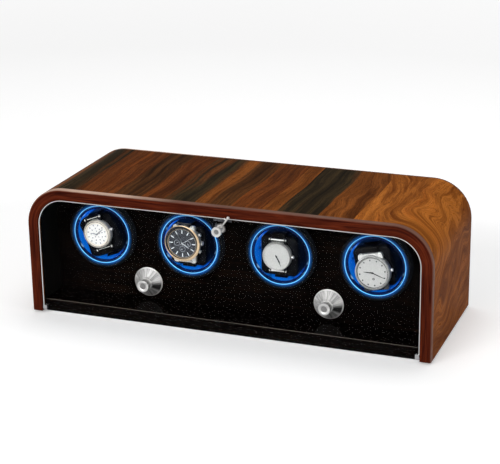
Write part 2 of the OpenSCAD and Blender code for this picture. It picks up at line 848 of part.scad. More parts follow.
// The rounded side view of a cushion, grown by g, drawn as depth against height
module cushion_side(g) {
  r = cushion_round + g;
  for (a = [0, 1])
    translate(a == 0 ? [-g, -cushion_h / 2 + cushion_round] : [cushion_round, -cushion_h / 2 - g])
      square(a == 0 ? [cushion_d + 2 * g, cushion_h - 2 * cushion_round]
                    : [cushion_d - 2 * cushion_round, cushion_h + 2 * g]);
  for (y = [cushion_round, cushion_d - cushion_round], s = [-1, 1])
    translate([y, s * (cushion_h / 2 - cushion_round)]) circle(r = r);
}

// An outline drawn as depth against height, given width w about the plane x
module side_view(x, w) {
  translate([x - w / 2, cushion_y, drum_z]) rotate([90, 0, 90]) linear_extrude(w) children();
}

// Turns a holder's piece about the axis of its drum
module turned(i) {
  translate([drum_xs[i], 0, drum_z]) rotate([0, -watch_turn[i], 0])
    translate([-drum_xs[i], 0, -drum_z]) children();
}

// A padded cushion that fits inside its drum cup
module cushion(i) {
  color("#141416") turned(i) intersection() {
    side_view(drum_xs[i], cushion_w) cushion_side(0);
    y_rod(drum_xs[i], drum_z, cushion_y - cut, cushion_y + cushion_d + cut, cup_r - cup_wall - cushion_fit);
  }
}

function case_radius(i) = dial_r[i] + bezel_steel;
function watch_x(i) = drum_xs[i] + watch_shift[i];
function watch_z(i) = drum_z + watch_rise[i];
function bar_rise(i) = case_radius(i) + lug_reach[i] / 2;

// The two steel blocks between the lugs of the watch with pushers, grown by g
module end_pieces(i, g) {
  r = case_radius(i);
  for (b = [0, 1]) translate([watch_x(i), 0, watch_z(i)]) mirror([0, 0, b])
    span([-strap_ws[i] / 2 - end_in - g, cushion_y - end_back - end_t - g, r - end_root - g],
         [strap_ws[i] / 2 + end_in + g, cushion_y - end_back + g, r + end_reach + g]);
}

// A watch case with a dished front for its dial, four lugs and a crown
module watch_case(i) {
  x = watch_x(i);
  z = watch_z(i);
  r = case_radius(i);
  t = watch_t + watch_extra[i];
  lug_h = lug_reach[i] + lug_root;
  color("#c4c6ca") turned(i) {
    spun(x, cushion_y, z) polygon([
      [0, 0], [r - case_foot_w, 0], [r, case_foot_h], [r, t - bezel_h], [r - bezel_step, t - bezel_step],
      [r - bezel_slope, t], [dial_r[i], t], [dial_r[i], t - dial_dish], [0, t - dial_dish]
    ]);
    for (a = [-1, 1], b = [0, 1])
      translate([x + a * (strap_ws[i] + lug_ts[i]) / 2 - lug_ts[i] / 2, cushion_y - lug_back - lug_depth, z])
        mirror([0, 0, b]) translate([0, 0, r - lug_root]) cube([lug_ts[i], lug_depth, lug_h]);
    for (b = [-1, 1])
      x_rod(cushion_y - bar_back, z + b * bar_rise(i), x - strap_ws[i] / 2 - bar_in,
            x + strap_ws[i] / 2 + bar_in, bar_r);
    x_rod(cushion_y - crown_back, z, x + r - crown_root, x + r + crown_len, crown_r);
    if (i == pushered) {
      end_pieces(i, 0);
      for (b = [-1, 1])
        translate([x, cushion_y - crown_back, z]) rotate([0, b * pusher_angle, 0])
          translate([r - crown_root, 0, 0]) rotate([0, 90, 0]) cylinder(r = pusher_r, h = crown_len);
    }
  }
}

// A straight length of strap between two points of the side view
module strap_link(a, b) {
  d = b - a;
  translate(a) rotate(atan2(d[1], d[0])) translate([0, -strap_t / 2]) square([norm(d), strap_t]);
  for (p = [a, b]) translate(p) circle(d = strap_t);
}

// A strap round the cushion, joined to the bars between the lugs
link_reach = 12;
case_clear = 0.2;
module watch_strap(i) {
  strap_w = strap_ws[i] - 2 * strap_gap;
  corner = cushion_h / 2 - cushion_round + (cushion_round + strap_t / 2) * sin(45);
  corner_in = cushion_round - (cushion_round + strap_t / 2) * cos(45);
  color("#101012") turned(i) difference() {
    side_view(watch_x(i), strap_w) difference() {
      union() {
        difference() {
          cushion_side(strap_t);
          cushion_side(0);
        }
        for (b = [-1, 1])
          if (abs(watch_rise[i] + b * bar_rise(i)) > corner - link_reach)
            strap_link([-bar_back, watch_rise[i] + b * bar_rise(i)], [corner_in, b * corner]);
      }
      for (b = [-1, 1]) translate([-bar_back, watch_rise[i] + b * bar_rise(i)]) circle(r = bar_r + seat_gap);
      cushion_side(0);
    }
    y_rod(watch_x(i), watch_z(i), watch_y - watch_extra[i] - cut, cushion_y + seat_gap,
          case_radius(i) + case_clear);
    if (i == pushered) end_pieces(i, seat_gap);
  }
}

case_shell();
front_edge_band();
rear_edge_band();
base_board();
recess_lining();
rubber_feet();
foot_screws();
back_panel();
back_panel_screws();
fascia_panel();
corner_battens();
drum_bezels();
light_rings();
led_boards();
drive_frame_left();
drive_frame_right();
drive_frame_screws();
spindle_bearings();
gear_motor_left();
gear_motor_right();
control_board();
selector_switches();
dc_inlet();
latch_strike();
hinge_pins();
glass_door();
hinge_clips();
latch_bushing();
door_knob();
latch_cam();
selector_knob_left();
selector_knob_right();
drive_pinion_left();
drive_pinion_right();
for (i = [0:3]) {
  drum_cup(i);
  drum_gear(i);
  drum_spindle(i);
  cushion(i);
  watch_case(i);
  watch_strap(i);
}
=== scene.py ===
"""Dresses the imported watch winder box: veneer, gloss lacquer, lit drums, watches and spun knobs."""

import json
import logging
import math
from dataclasses import dataclass, field
from enum import Enum
from typing import Protocol

import bmesh
import bpy
from mathutils import Matrix, Vector

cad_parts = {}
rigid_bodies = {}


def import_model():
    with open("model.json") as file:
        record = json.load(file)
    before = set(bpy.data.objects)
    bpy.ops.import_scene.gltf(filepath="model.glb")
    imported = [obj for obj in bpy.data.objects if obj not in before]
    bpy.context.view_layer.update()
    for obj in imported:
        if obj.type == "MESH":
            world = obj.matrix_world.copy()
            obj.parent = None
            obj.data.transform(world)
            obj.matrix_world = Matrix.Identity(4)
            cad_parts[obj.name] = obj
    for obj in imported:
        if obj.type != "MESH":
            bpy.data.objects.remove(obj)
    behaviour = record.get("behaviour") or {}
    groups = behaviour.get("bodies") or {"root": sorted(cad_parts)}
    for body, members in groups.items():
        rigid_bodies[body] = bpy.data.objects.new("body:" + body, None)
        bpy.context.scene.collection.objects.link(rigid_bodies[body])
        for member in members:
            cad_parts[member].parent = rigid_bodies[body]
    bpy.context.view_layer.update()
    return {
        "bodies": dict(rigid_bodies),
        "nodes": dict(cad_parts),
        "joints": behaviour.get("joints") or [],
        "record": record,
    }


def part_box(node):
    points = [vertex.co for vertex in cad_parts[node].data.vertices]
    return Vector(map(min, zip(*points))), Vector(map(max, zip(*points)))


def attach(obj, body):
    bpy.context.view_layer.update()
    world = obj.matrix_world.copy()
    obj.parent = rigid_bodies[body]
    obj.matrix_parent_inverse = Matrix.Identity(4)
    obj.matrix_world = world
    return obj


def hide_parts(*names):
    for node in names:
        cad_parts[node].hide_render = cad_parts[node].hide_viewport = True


LOG = logging.getLogger("watch_winder")
MM = 0.001
BAR_BACK = 3.8 * MM  # How far in front of the cushion the spring bars' axes are
Colour = tuple[float, float, float]
Socket = bpy.types.NodeSocket


def tint(code: str) -> Colour:
    """Turns a six-digit sRGB colour into the linear values that shaders take.

    Args:
        code: The colour as six hexadecimal digits.

    Returns:
        The red, green and blue shares.
    """
    shares = [int(code[i:i + 2], 16) / 255 for i in (0, 2, 4)]
    linear = [v / 12.92 if v <= 0.04045 else ((v + 0.055) / 1.055) ** 2.4 for v in shares]
    return (linear[0], linear[1], linear[2])


def scaled(colour: Colour, share: float, lift: float = 0.0) -> Colour:
    """A colour made brighter or darker by a share, with a little added, and no channel over 1."""
    red, green, blue = (min(1.0, v * share + lift) for v in colour)
    return red, green, blue


def add_piece(name: str, data: bpy.types.Mesh) -> bpy.types.Object:
    """Makes an object of a mesh and adds it to the scene.

    Args:
        name: The object's name.
        data: The mesh.

    Returns:
        The object.
    """
    piece = bpy.data.objects.new(name, data)
    bpy.context.scene.collection.objects.link(piece)
    return piece


def plain_mesh(piece: bpy.types.Object) -> bpy.types.Mesh:
    """The mesh that a piece has once its modifiers are worked out."""
    graph = bpy.context.evaluated_depsgraph_get()
    return bpy.data.meshes.new_from_object(piece.evaluated_get(graph), depsgraph=graph)


class Finish(Protocol):
    """Anything that can build a material."""

    def build(self) -> bpy.types.Material:
        """Builds the material."""


class Shader:
    """A material's node tree, with short calls that add nodes and join them."""

    def __init__(self, name: str) -> None:
        """Starts an empty tree.

        Args:
            name: The material's name.
        """
        self.material = bpy.data.materials.new(name)
        self.material.use_nodes = True
        self.tree = self.material.node_tree
        self.tree.nodes.clear()
        self.output = self.tree.nodes.new("ShaderNodeOutputMaterial")

    def add(self, kind: str, **settings: object) -> bpy.types.Node:
        """Adds a node and sets its properties.

        Args:
            kind: The node's type, without its ShaderNode prefix.
            **settings: Properties of the node.

        Returns:
            The new node.
        """
        node = self.tree.nodes.new("ShaderNode" + kind)
        for key, value in settings.items():
            setattr(node, key, value)
        return node

    def feed(self, target: Socket, source: object) -> None:
        """Joins a socket to an input, or sets the input to a constant.

        Args:
            target: The input.
            source: A socket, a number, a vector or a colour.
        """
        if isinstance(source, bpy.types.NodeSocket):
            self.tree.links.new(source, target)
        elif isinstance(source, tuple) and target.type == "RGBA":
            target.default_value = (*source, 1.0)
        else:
            target.default_value = source

    def maths(self, operation: str, *values: object) -> Socket:
        """Adds a Math node.

        Args:
            operation: The node's operation.
            *values: Its inputs, as sockets or numbers.

        Returns:
            The result's socket.
        """
        node = self.add("Math", operation=operation)
        for target, value in zip(node.inputs, values):
            self.feed(target, value)
        return node.outputs[0]

    def times(self, first: object, second: object) -> Socket:
        """The product of two values."""
        return self.maths("MULTIPLY", first, second)

    def plus(self, first: object, second: object) -> Socket:
        """The sum of two values."""
        return self.maths("ADD", first, second)

    def minus(self, first: object, second: object) -> Socket:
        """The first value less the second."""
        return self.maths("SUBTRACT", first, second)

    def most(self, first: object, second: object) -> Socket:
        """The larger of two values."""
        return self.maths("MAXIMUM", first, second)

    def size(self, value: object) -> Socket:
        """A value without its sign."""
        return self.maths("ABSOLUTE", value)

    def place(self) -> Socket:
        """The surface's place in the object's own frame, in metres."""
        return self.add("TexCoord").outputs["Object"]

    def split(self, vector: Socket) -> tuple[Socket, Socket, Socket]:
        """Separates a vector.

        Args:
            vector: The vector.

        Returns:
            Its X, Y and Z.
        """
        node = self.add("SeparateXYZ")
        self.feed(node.inputs[0], vector)
        return node.outputs[0], node.outputs[1], node.outputs[2]

    def join(self, x: object, y: object, z: object) -> Socket:
        """Joins three values to a vector.

        Args:
            x: Its X, as a socket or number.
            y: Its Y.
            z: Its Z.

        Returns:
            The vector.
        """
        node = self.add("CombineXYZ")
        for target, value in zip(node.inputs, (x, y, z)):
            self.feed(target, value)
        return node.outputs[0]

    def stretched(self, vector: Socket, scale: tuple[float, float, float]) -> Socket:
        """Scales a vector on each axis.

        Args:
            vector: The vector.
            scale: The scale on X, Y and Z.

        Returns:
            The scaled vector.
        """
        node = self.add("Mapping")
        self.feed(node.inputs["Vector"], vector)
        node.inputs["Scale"].default_value = scale
        return node.outputs[0]

    def noise(self, vector: Socket, scale: float, detail: float = 3, rough: float = 0.5,
              warp: float = 0.0) -> Socket:
        """Adds smooth noise.

        Args:
            vector: Where it is read.
            scale: Its features to a metre.
            detail: Octaves.
            rough: The share that each finer octave keeps.
            warp: How far it is distorted.

        Returns:
            The noise from 0 to 1.
        """
        node = self.add("TexNoise")
        self.feed(node.inputs["Vector"], vector)
        for name, value in (("Scale", scale), ("Detail", detail), ("Roughness", rough),
                            ("Distortion", warp)):
            node.inputs[name].default_value = value
        return node.outputs[0]

    def unrolled(self, half_flat: float, corner: float, height: float) -> tuple[Socket, Socket]:
        """Where a point is on the case's wall, as if the wall were laid flat.

        Args:
            half_flat: Half the width of the flat top.
            corner: The outer radius of the corners.
            height: The top's height.

        Returns:
            The signed distance from the middle along the wall, and the depth inside its outer face.
        """
        x, _, z = self.split(self.place())
        side = self.size(x)
        over = self.most(self.minus(side, half_flat), 0.0)
        rise = self.most(self.minus(z, height - corner), 0.0)
        fall = self.most(self.minus(height - corner, z), 0.0)
        bend = self.times(self.maths("ARCTAN2", over, rise), corner)
        along = self.plus(self.plus(self.maths("MINIMUM", side, half_flat), bend), fall)
        return self.times(along, self.maths("SIGN", x)), self.minus(corner, self.length(over, rise))

    def from_axis(self, pitch: float, axis_z: float, first: float = 0.0) -> tuple[Socket, Socket]:
        """How a point lies about the nearest of several axes that run front to back.

        Args:
            pitch: The distance between the axes.
            axis_z: Their height.
            first: The X of one edge between two axes.

        Returns:
            The distance right of the axis and above it.
        """
        x, _, z = self.split(self.place())
        shifted = self.maths("DIVIDE", self.minus(x, first), pitch)
        turn = self.maths("FRACT", self.plus(shifted, 4.0))
        across = self.times(self.minus(turn, 0.5), pitch)
        return across, self.minus(z, axis_z)

    def length(self, across: Socket, rise: Socket) -> Socket:
        """The length of the longest side of a right triangle."""
        return self.maths("SQRT", self.plus(self.times(across, across), self.times(rise, rise)))

    def ramp(self, factor: Socket, stops: list[tuple[float, Colour]], steps: bool = False) -> Socket:
        """A colour that changes along a factor.

        Args:
            factor: The place on the ramp.
            stops: Places with their colours, in order.
            steps: Whether each colour holds until the next.

        Returns:
            The colour's socket.
        """
        node = self.add("ValToRGB")
        self.feed(node.inputs[0], factor)
        ramp = node.color_ramp
        ramp.interpolation = "CONSTANT" if steps else "LINEAR"
        while len(ramp.elements) < len(stops):
            ramp.elements.new(1.0)
        for element, (place, colour) in zip(ramp.elements, stops):
            element.position = place
            element.color = (*colour, 1.0)
        return node.outputs[0]

    def span(self, value: Socket, low: float, high: float, to_low: float = 0.0,
             to_high: float = 1.0) -> Socket:
        """Maps a value's range to another and clamps it.

        Args:
            value: The value.
            low: The start of its range.
            high: The end of its range.
            to_low: What the start becomes.
            to_high: What the end becomes.

        Returns:
            The mapped value.
        """
        node = self.add("MapRange")
        for target, number in zip(node.inputs, (value, low, high, to_low, to_high)):
            self.feed(target, number)
        return node.outputs[0]

    def mix(self, factor: object, first: object, second: object, blend: str = "MIX") -> Socket:
        """Mixes two colours.

        Args:
            factor: The second colour's share.
            first: A colour or socket.
            second: A colour or socket.
            blend: How they are mixed.

        Returns:
            The colour's socket.
        """
        node = self.add("Mix", data_type="RGBA", blend_type=blend)
        self.feed(node.inputs[0], factor)
        self.feed(node.inputs[6], first)
        self.feed(node.inputs[7], second)
        return node.outputs[2]

    def bump(self, height: Socket, strength: float, depth: float) -> Socket:
        """A normal that is raised by a height.

        Args:
            height: From 0 to 1.
            strength: The share of the effect.
            depth: The height of 1, in metres.

        Returns:
            The normal's socket.
        """
        node = self.add("Bump")
        self.feed(node.inputs["Height"], height)
        node.inputs["Strength"].default_value = strength
        node.inputs["Distance"].default_value = depth
        return node.outputs[0]

    def surface(self, **inputs: object) -> bpy.types.Node:
        """Adds the main surface shader and joins it to the output.

        Args:
            **inputs: Its inputs by name, with underscores for spaces.

        Returns:
            The shader node.
        """
        node = self.add("BsdfPrincipled")
        for name, value in inputs.items():
            self.feed(node.inputs[name.replace("_", " ")], value)
        self.feed(self.output.inputs["Surface"], node.outputs[0])
        return node


class WoodTone(Enum):
    """The tones that the veneer's leaves are cut from, each with its pale and its dark grain."""

    UMBER = ("453620", "14100a")
    BROWN = ("6e421e", "291607")
    RUSSET = ("7c421a", "331606")
    CHESTNUT = ("9a5824", "4c2508")
    HONEY = ("c87830", "6e370e")


@dataclass(frozen=True)
class WalnutVeneer:
    """Lacquered veneer leaves laid front to back, lighter and more figured at the right, with painted shade
    darkening the right side wall.
    """

    half_flat: float
    corner: float
    height: float
    reach: float = 0.42
    leaves: tuple[tuple[float, WoodTone], ...] = (
        (-0.420, WoodTone.BROWN), (-0.300, WoodTone.CHESTNUT), (-0.235, WoodTone.UMBER),
        (-0.205, WoodTone.RUSSET), (-0.150, WoodTone.BROWN), (-0.112, WoodTone.RUSSET),
        (-0.082, WoodTone.UMBER), (-0.038, WoodTone.CHESTNUT), (-0.020, WoodTone.BROWN),
        (0.012, WoodTone.RUSSET), (0.050, WoodTone.CHESTNUT), (0.071, WoodTone.UMBER),
        (0.122, WoodTone.CHESTNUT), (0.168, WoodTone.HONEY),
    )

    def tones(self, s: Shader, place: Socket, shade: int) -> Socket:
        """Gives each leaf its grain colour.

        Args:
            s: The material's shader.
            place: The place along the wall, from 0 to 1.
            shade: 0 for the pale grain and 1 for the dark.

        Returns:
            The colour.
        """
        stops = [((start + self.reach) / (2 * self.reach), tint(tone.value[shade]))
                 for start, tone in self.leaves]
        return s.ramp(place, stops, steps=True)

    def build(self) -> bpy.types.Material:
        """Builds the material.

        Returns:
            The finished material.
        """
        s = Shader("walnut_veneer")
        _, y, _ = s.split(s.place())
        along, _ = s.unrolled(self.half_flat, self.corner, self.height)
        flat = s.join(along, y, 0.0)
        wobble = s.minus(s.noise(flat, 7, 1), 0.5)
        place = s.span(s.plus(along, s.times(wobble, 0.012)), -self.reach, self.reach)
        number = s.ramp(place, [((start + self.reach) / (2 * self.reach), (0.37 * n % 1,) * 3)
                                for n, (start, _) in enumerate(self.leaves)], steps=True)
        figured = s.span(along, 0.12, 0.25)
        swirl = s.minus(s.noise(flat, 6.5, 2, 0.5), 0.5)
        slant = s.times(y, s.span(figured, 0, 1, 0.0, 0.45))
        swing = s.plus(slant, s.times(swirl, s.span(figured, 0, 1, 0.03, 0.2)))
        bent = s.plus(s.plus(along, swing), s.times(number, 5.0))
        deep = s.times(y, s.span(figured, 0, 1, 0.045, 0.16))
        grain = s.join(bent, deep, number)
        streaks = s.noise(grain, 85, 5, 0.62, 0.5)
        broad = s.noise(grain, 24, 3, 0.55, 0.8)
        lines = s.noise(s.join(bent, s.times(y, 0.02), 0.7), 420, 3, 0.6)
        pores = s.noise(s.join(bent, s.times(y, 0.08), 0.2), 1500, 2)
        pale, dark = self.tones(s, place, 0), self.tones(s, place, 1)
        depth = s.plus(s.span(streaks, 0.38, 0.60, 0.0, 0.6), s.span(broad, 0.40, 0.60, 0.0, 0.4))
        tone = s.mix(depth, dark, pale)
        warm = s.mix(s.span(broad, 0.52, 0.66, 0.0, 0.45), tone, tint("9c4c16"))
        ringed = s.mix(s.span(s.maths("SINE", s.times(streaks, 42.0)), 0.5, 1.0, 0.0, 0.32), warm, dark)
        lined = s.mix(s.span(lines, 0.36, 0.5, 0.5, 0.0), ringed, dark)
        pored = s.mix(s.span(pores, 0.36, 0.46, 0.45, 0.0), lined, tint("140b07"))
        # Painted shade: from the top's right corner down the right side wall, the veneer is mixed up to four
        # tenths towards dark brown.
        with_painted_side_shade = s.mix(s.span(along, 0.27, 0.34, 0.0, 0.4), pored, tint("4a1602"))
        s.surface(Base_Color=with_painted_side_shade, Roughness=s.span(streaks, 0.3, 0.7, 0.34, 0.26),
                  Specular_IOR_Level=0.004, Normal=s.bump(lines, 0.04, 0.0002))
        return s.material


@dataclass(frozen=True)
class EdgeBand:
    """Solid mahogany whose grain follows the wall, with a painted highlight along its outer edge that is
    strongest at the top left.
    """

    half_flat: float
    corner: float
    height: float
    highlight_width: float = 1.5 * MM

    def build(self) -> bpy.types.Material:
        """Builds the material.

        Returns:
            The finished material.
        """
        s = Shader("mahogany_band")
        _, y, _ = s.split(s.place())
        along, inside = s.unrolled(self.half_flat, self.corner, self.height)
        grain = s.join(s.times(along, 0.05), inside, y)
        lines = s.noise(grain, 330, 5, 0.6, 0.4)
        broad = s.noise(s.join(s.times(along, 0.25), inside, 0.0), 60, 3)
        colour = s.mix(s.span(lines, 0.36, 0.64), tint("2e0e08"), tint("6c2c17"))
        shaded = s.mix(s.span(broad, 0.35, 0.65, 0.0, 0.6), colour, tint("3f150c"))
        # Painted highlight: the outer edge is paled towards d8b8a4 in patches, most on the top left and
        # faintly elsewhere.
        edge = s.span(inside, 0.1 * MM, self.highlight_width, 1.0, 0.0)
        highlight_top_left = s.span(s.size(s.plus(along, 0.2)), 0.06, 0.14, 0.9, 0.2)
        patchy = s.times(edge, s.span(s.noise(s.place(), 30, 2), 0.3, 0.7, 0.7, 1.0))
        pale = s.mix(s.times(patchy, highlight_top_left), shaded, tint("d8b8a4"))
        s.surface(Base_Color=pale, Roughness=0.2, Specular_IOR_Level=0.012,
                  Normal=s.bump(lines, 0.03, 0.0002))
        return s.material


@dataclass(frozen=True)
class PlainWood:
    """Unfinished softwood with lines of grain along Z."""

    name: str
    light: Colour
    dark: Colour

    def build(self) -> bpy.types.Material:
        """Builds the material.

        Returns:
            The finished material.
        """
        s = Shader(self.name)
        lines = s.noise(s.stretched(s.place(), (1, 1, 0.06)), 300, 5, 0.6, 0.4)
        s.surface(Base_Color=s.mix(s.span(lines, 0.35, 0.65), self.dark, self.light), Roughness=0.65,
                  Specular_IOR_Level=0.2, Normal=s.bump(lines, 0.15, 0.0002))
        return s.material


@dataclass(frozen=True)
class Moulding:
    """Lacquer, plastic, rubber or nylon: one colour with a faint unevenness."""

    name: str
    colour: Colour
    rough: float
    gloss: float = 0.3
    grain: float = 900.0
    relief: float = 0.05
    spread: float = 0.12
    mottle: float = 18.0

    def build(self) -> bpy.types.Material:
        """Builds the material.

        Returns:
            The finished material.
        """
        s = Shader(self.name)
        fine = s.noise(s.place(), self.grain, 3)
        broad = s.noise(s.place(), self.mottle, 2)
        colour = s.mix(s.span(broad, 0.3, 0.7), self.colour, scaled(self.colour, 1 + self.spread, 0.0015))
        rough = s.span(broad, 0.3, 0.7, self.rough * 0.9, self.rough * 1.12)
        s.surface(Base_Color=colour, Roughness=rough, Specular_IOR_Level=self.gloss,
                  Normal=s.bump(fine, self.relief, 0.0002))
        return s.material


@dataclass(frozen=True)
class GrainedLacquer:
    """Near-black lacquer over wood, with a trace of brown grain along X."""

    name: str
    gloss: float
    rough: float = 0.08
    grain_colour: str = "130b07"

    def build(self) -> bpy.types.Material:
        """Builds the material.

        Returns:
            The finished material.
        """
        s = Shader(self.name)
        lines = s.noise(s.stretched(s.place(), (0.05, 1, 1)), 260, 4, 0.6, 0.3)
        broad = s.noise(s.place(), 9, 2)
        grained = s.mix(s.span(lines, 0.48, 0.68), tint("050302"), tint(self.grain_colour))
        colour = s.mix(s.span(broad, 0.35, 0.65, 0.0, 0.6), grained, tint("040202"))
        s.surface(Base_Color=colour, Roughness=s.span(broad, 0.3, 0.7, self.rough * 0.85, self.rough * 1.2),
                  Specular_IOR_Level=self.gloss, Normal=s.bump(lines, 0.01, 0.0001))
        return s.material


@dataclass(frozen=True)
class Metal:
    """Polished or brushed metal with faint marks."""

    name: str
    colour: Colour
    rough: float
    marks: float = 0.04
    metallic: float = 1.0

    def build(self) -> bpy.types.Material:
        """Builds the material.

        Returns:
            The finished material.
        """
        s = Shader(self.name)
        marks = s.noise(s.stretched(s.place(), (1, 1, 8)), 700, 3)
        broad = s.noise(s.place(), 60, 2)
        colour = s.mix(s.span(broad, 0.3, 0.7, 0.0, 0.5), self.colour, scaled(self.colour, 0.86))
        rough = s.span(marks, 0.3, 0.7, self.rough * 0.85, self.rough * 1.15)
        s.surface(Base_Color=colour, Metallic=self.metallic, Roughness=rough,
                  Normal=s.bump(marks, self.marks, 0.0001))
        return s.material


@dataclass(frozen=True)
class SpunMetal:
    """Turned metal whose shine breaks into fans, with painted light in its colour: painted reflection fans
    and a dark wedge, a painted highlight on the rim and round the cap, and painted shade in the dish.
    """

    name: str
    colour: Colour
    pitch: float
    axis_z: float
    first: float = 0.0
    rim: float = 18.3 * MM
    cap: float = 8.3 * MM
    dish: float = 4.3 * MM
    # The darkest share of the painted reflection fans.
    floor: float = 0.3

    def build(self) -> bpy.types.Material:
        """Builds the material.

        Returns:
            The finished material.
        """
        s = Shader(self.name)
        across, rise = s.from_axis(self.pitch, self.axis_z, self.first)
        angle = s.maths("ARCTAN2", rise, across)
        radius = s.length(across, rise)
        circle = s.join(s.maths("COSINE", angle), s.maths("SINE", angle), s.times(radius, 6.0))
        # Painted reflection: streaky fans round the axis, a dark wedge just right of and below it, and a
        # darker top and bottom.
        blades = s.noise(circle, 7.0, 3, 0.6)
        grooves = s.noise(s.join(radius, 0.0, 0.0), 2600, 2)
        streaks = s.span(blades, 0.36, 0.6, self.floor, 1.0)
        off = s.size(s.plus(angle, 0.3))
        on_cap = s.span(radius, self.cap + 0.6 * MM, self.cap)
        painted_wedge_shade = s.most(s.span(off, 0.16, 0.42), on_cap)
        low = s.span(s.size(s.plus(s.maths("SINE", angle), -0.05)), 0.3, 0.95, 1.0, 0.66)
        painted_fans = s.times(s.times(streaks, painted_wedge_shade), low)
        # Painted highlight on the rim and in a ring just inside the cap's edge, and painted shade in the
        # dish.
        with_rim_highlight = s.most(painted_fans, s.span(radius, self.rim, self.rim + 0.5 * MM, 0.0, 0.9))
        ringed = s.most(with_rim_highlight, s.span(radius, self.cap, self.cap - 0.4 * MM, 0.0, 0.95))
        with_dish_shade = s.times(ringed, s.span(radius, self.dish - 0.5 * MM, self.dish, 0.35, 1.0))
        tangent = s.add("Tangent", direction_type="RADIAL", axis="Y")
        s.surface(Base_Color=s.mix(with_dish_shade, (0.02, 0.018, 0.018), self.colour), Metallic=0.5,
                  Roughness=s.span(blades, 0.3, 0.7, 0.5, 0.4), Anisotropic=0.5, Tangent=tangent.outputs[0],
                  Normal=s.bump(grooves, 0.12, 0.0001))
        return s.material


@dataclass(frozen=True)
class Clear:
    """Thin clear glass, which lets lamps through to what is behind it."""

    name: str
    bend: float
    colour: Colour = (0.97, 0.99, 1.0)

    def build(self) -> bpy.types.Material:
        """Builds the material.

        Returns:
            The finished material.
        """
        s = Shader(self.name)
        smear = s.noise(s.place(), 12, 2)
        glass = s.surface(Base_Color=self.colour, Roughness=0.0, IOR=self.bend, Transmission_Weight=1.0,
                          Normal=s.bump(smear, 0.01, 0.0001))
        through = s.add("BsdfTransparent")
        choice = s.add("MixShader")
        path = s.add("LightPath")
        s.feed(choice.inputs[0], path.outputs["Is Shadow Ray"])
        s.feed(choice.inputs[1], glass.outputs[0])
        s.feed(choice.inputs[2], through.outputs[0])
        s.feed(s.output.inputs["Surface"], choice.outputs[0])
        return s.material


class GlowRun(Enum):
    """What a drum's blue light fades along."""

    OUTWARD = "outward"
    INWARD = "inward"


@dataclass(frozen=True)
class DrumGlow:
    """Plastic round a drum with blue emission that fades outward or into the drum: the light ring's own
    light, and a painted glow, painted light patches and painted highlights on the bezels and cups, which are
    no lamps.
    """

    name: str
    run: GlowRun
    start: float
    stop: float
    stops: tuple[tuple[float, str], ...]
    pitch: float
    axis_z: float
    strength: float
    rough: float = 0.15
    metallic: float = 0.0
    gloss: float = 0.3
    patchy: float = 0.3
    painted_glints: float = 0.0

    def build(self) -> bpy.types.Material:
        """Builds the material.

        Returns:
            The finished material.
        """
        s = Shader(self.name)
        across, rise = s.from_axis(self.pitch, self.axis_z)
        _, y, _ = s.split(s.place())
        measure = y if self.run is GlowRun.INWARD else s.length(across, rise)
        share = s.span(measure, self.start, self.stop)
        colour = s.ramp(share, [(place, tint(code)) for place, code in self.stops])
        angle = s.maths("ARCTAN2", rise, across)
        circle = s.join(s.maths("COSINE", angle), s.maths("SINE", angle), s.times(y, 14.0))
        # The emission is made patchy and brighter towards the left; on the bezels and cups this is painted
        # light.
        patches = s.noise(circle, 1.6, 3, 0.6)
        toward = s.minus(across, s.times(s.size(rise), 0.8))
        side = s.span(toward, -30 * MM, 24 * MM, 1.0 + self.patchy, 1.0 - self.patchy)
        painted_light_patches = s.times(s.span(patches, 0.34, 0.62, 1 - self.patchy, 1 + self.patchy), side)
        lit = s.mix(1.0, colour, s.mix(painted_light_patches, (0, 0, 0), (1, 1, 1)), "MULTIPLY")
        # Painted highlights: small pale blue spots in the emission.
        if self.painted_glints:
            cells = s.join(s.times(across, 34.0), s.times(rise, 34.0), s.times(y, 40.0))
            bright = s.span(s.noise(cells, 1.7, 1), 0.64, 0.69)
            lit = s.mix(s.times(bright, self.painted_glints), lit, tint("a8dcff"))
        node = s.surface(Base_Color=colour, Roughness=self.rough, Metallic=self.metallic,
                         Specular_IOR_Level=self.gloss, Emission_Color=lit)
        node.inputs["Emission Strength"].default_value = self.strength
        return s.material


@dataclass(frozen=True)
class Leather:
    """Soft leather with a fine pebble grain."""

    name: str
    colour: Colour
    rough: float = 0.42

    def build(self) -> bpy.types.Material:
        """Builds the material.

        Returns:
            The finished material.
        """
        s = Shader(self.name)
        cells = s.add("TexVoronoi", feature="SMOOTH_F1")
        s.feed(cells.inputs["Vector"], s.place())
        cells.inputs["Scale"].default_value = 1100.0
        creases = s.noise(s.place(), 120, 4)
        colour = s.mix(s.span(creases, 0.35, 0.7), self.colour, scaled(self.colour, 1.9, 0.002))
        s.surface(Base_Color=colour, Roughness=s.span(creases, 0.3, 0.7, self.rough * 0.85, self.rough * 1.2),
                  Specular_IOR_Level=0.05, Normal=s.bump(cells.outputs["Distance"], 0.25, 0.0003))
        return s.material


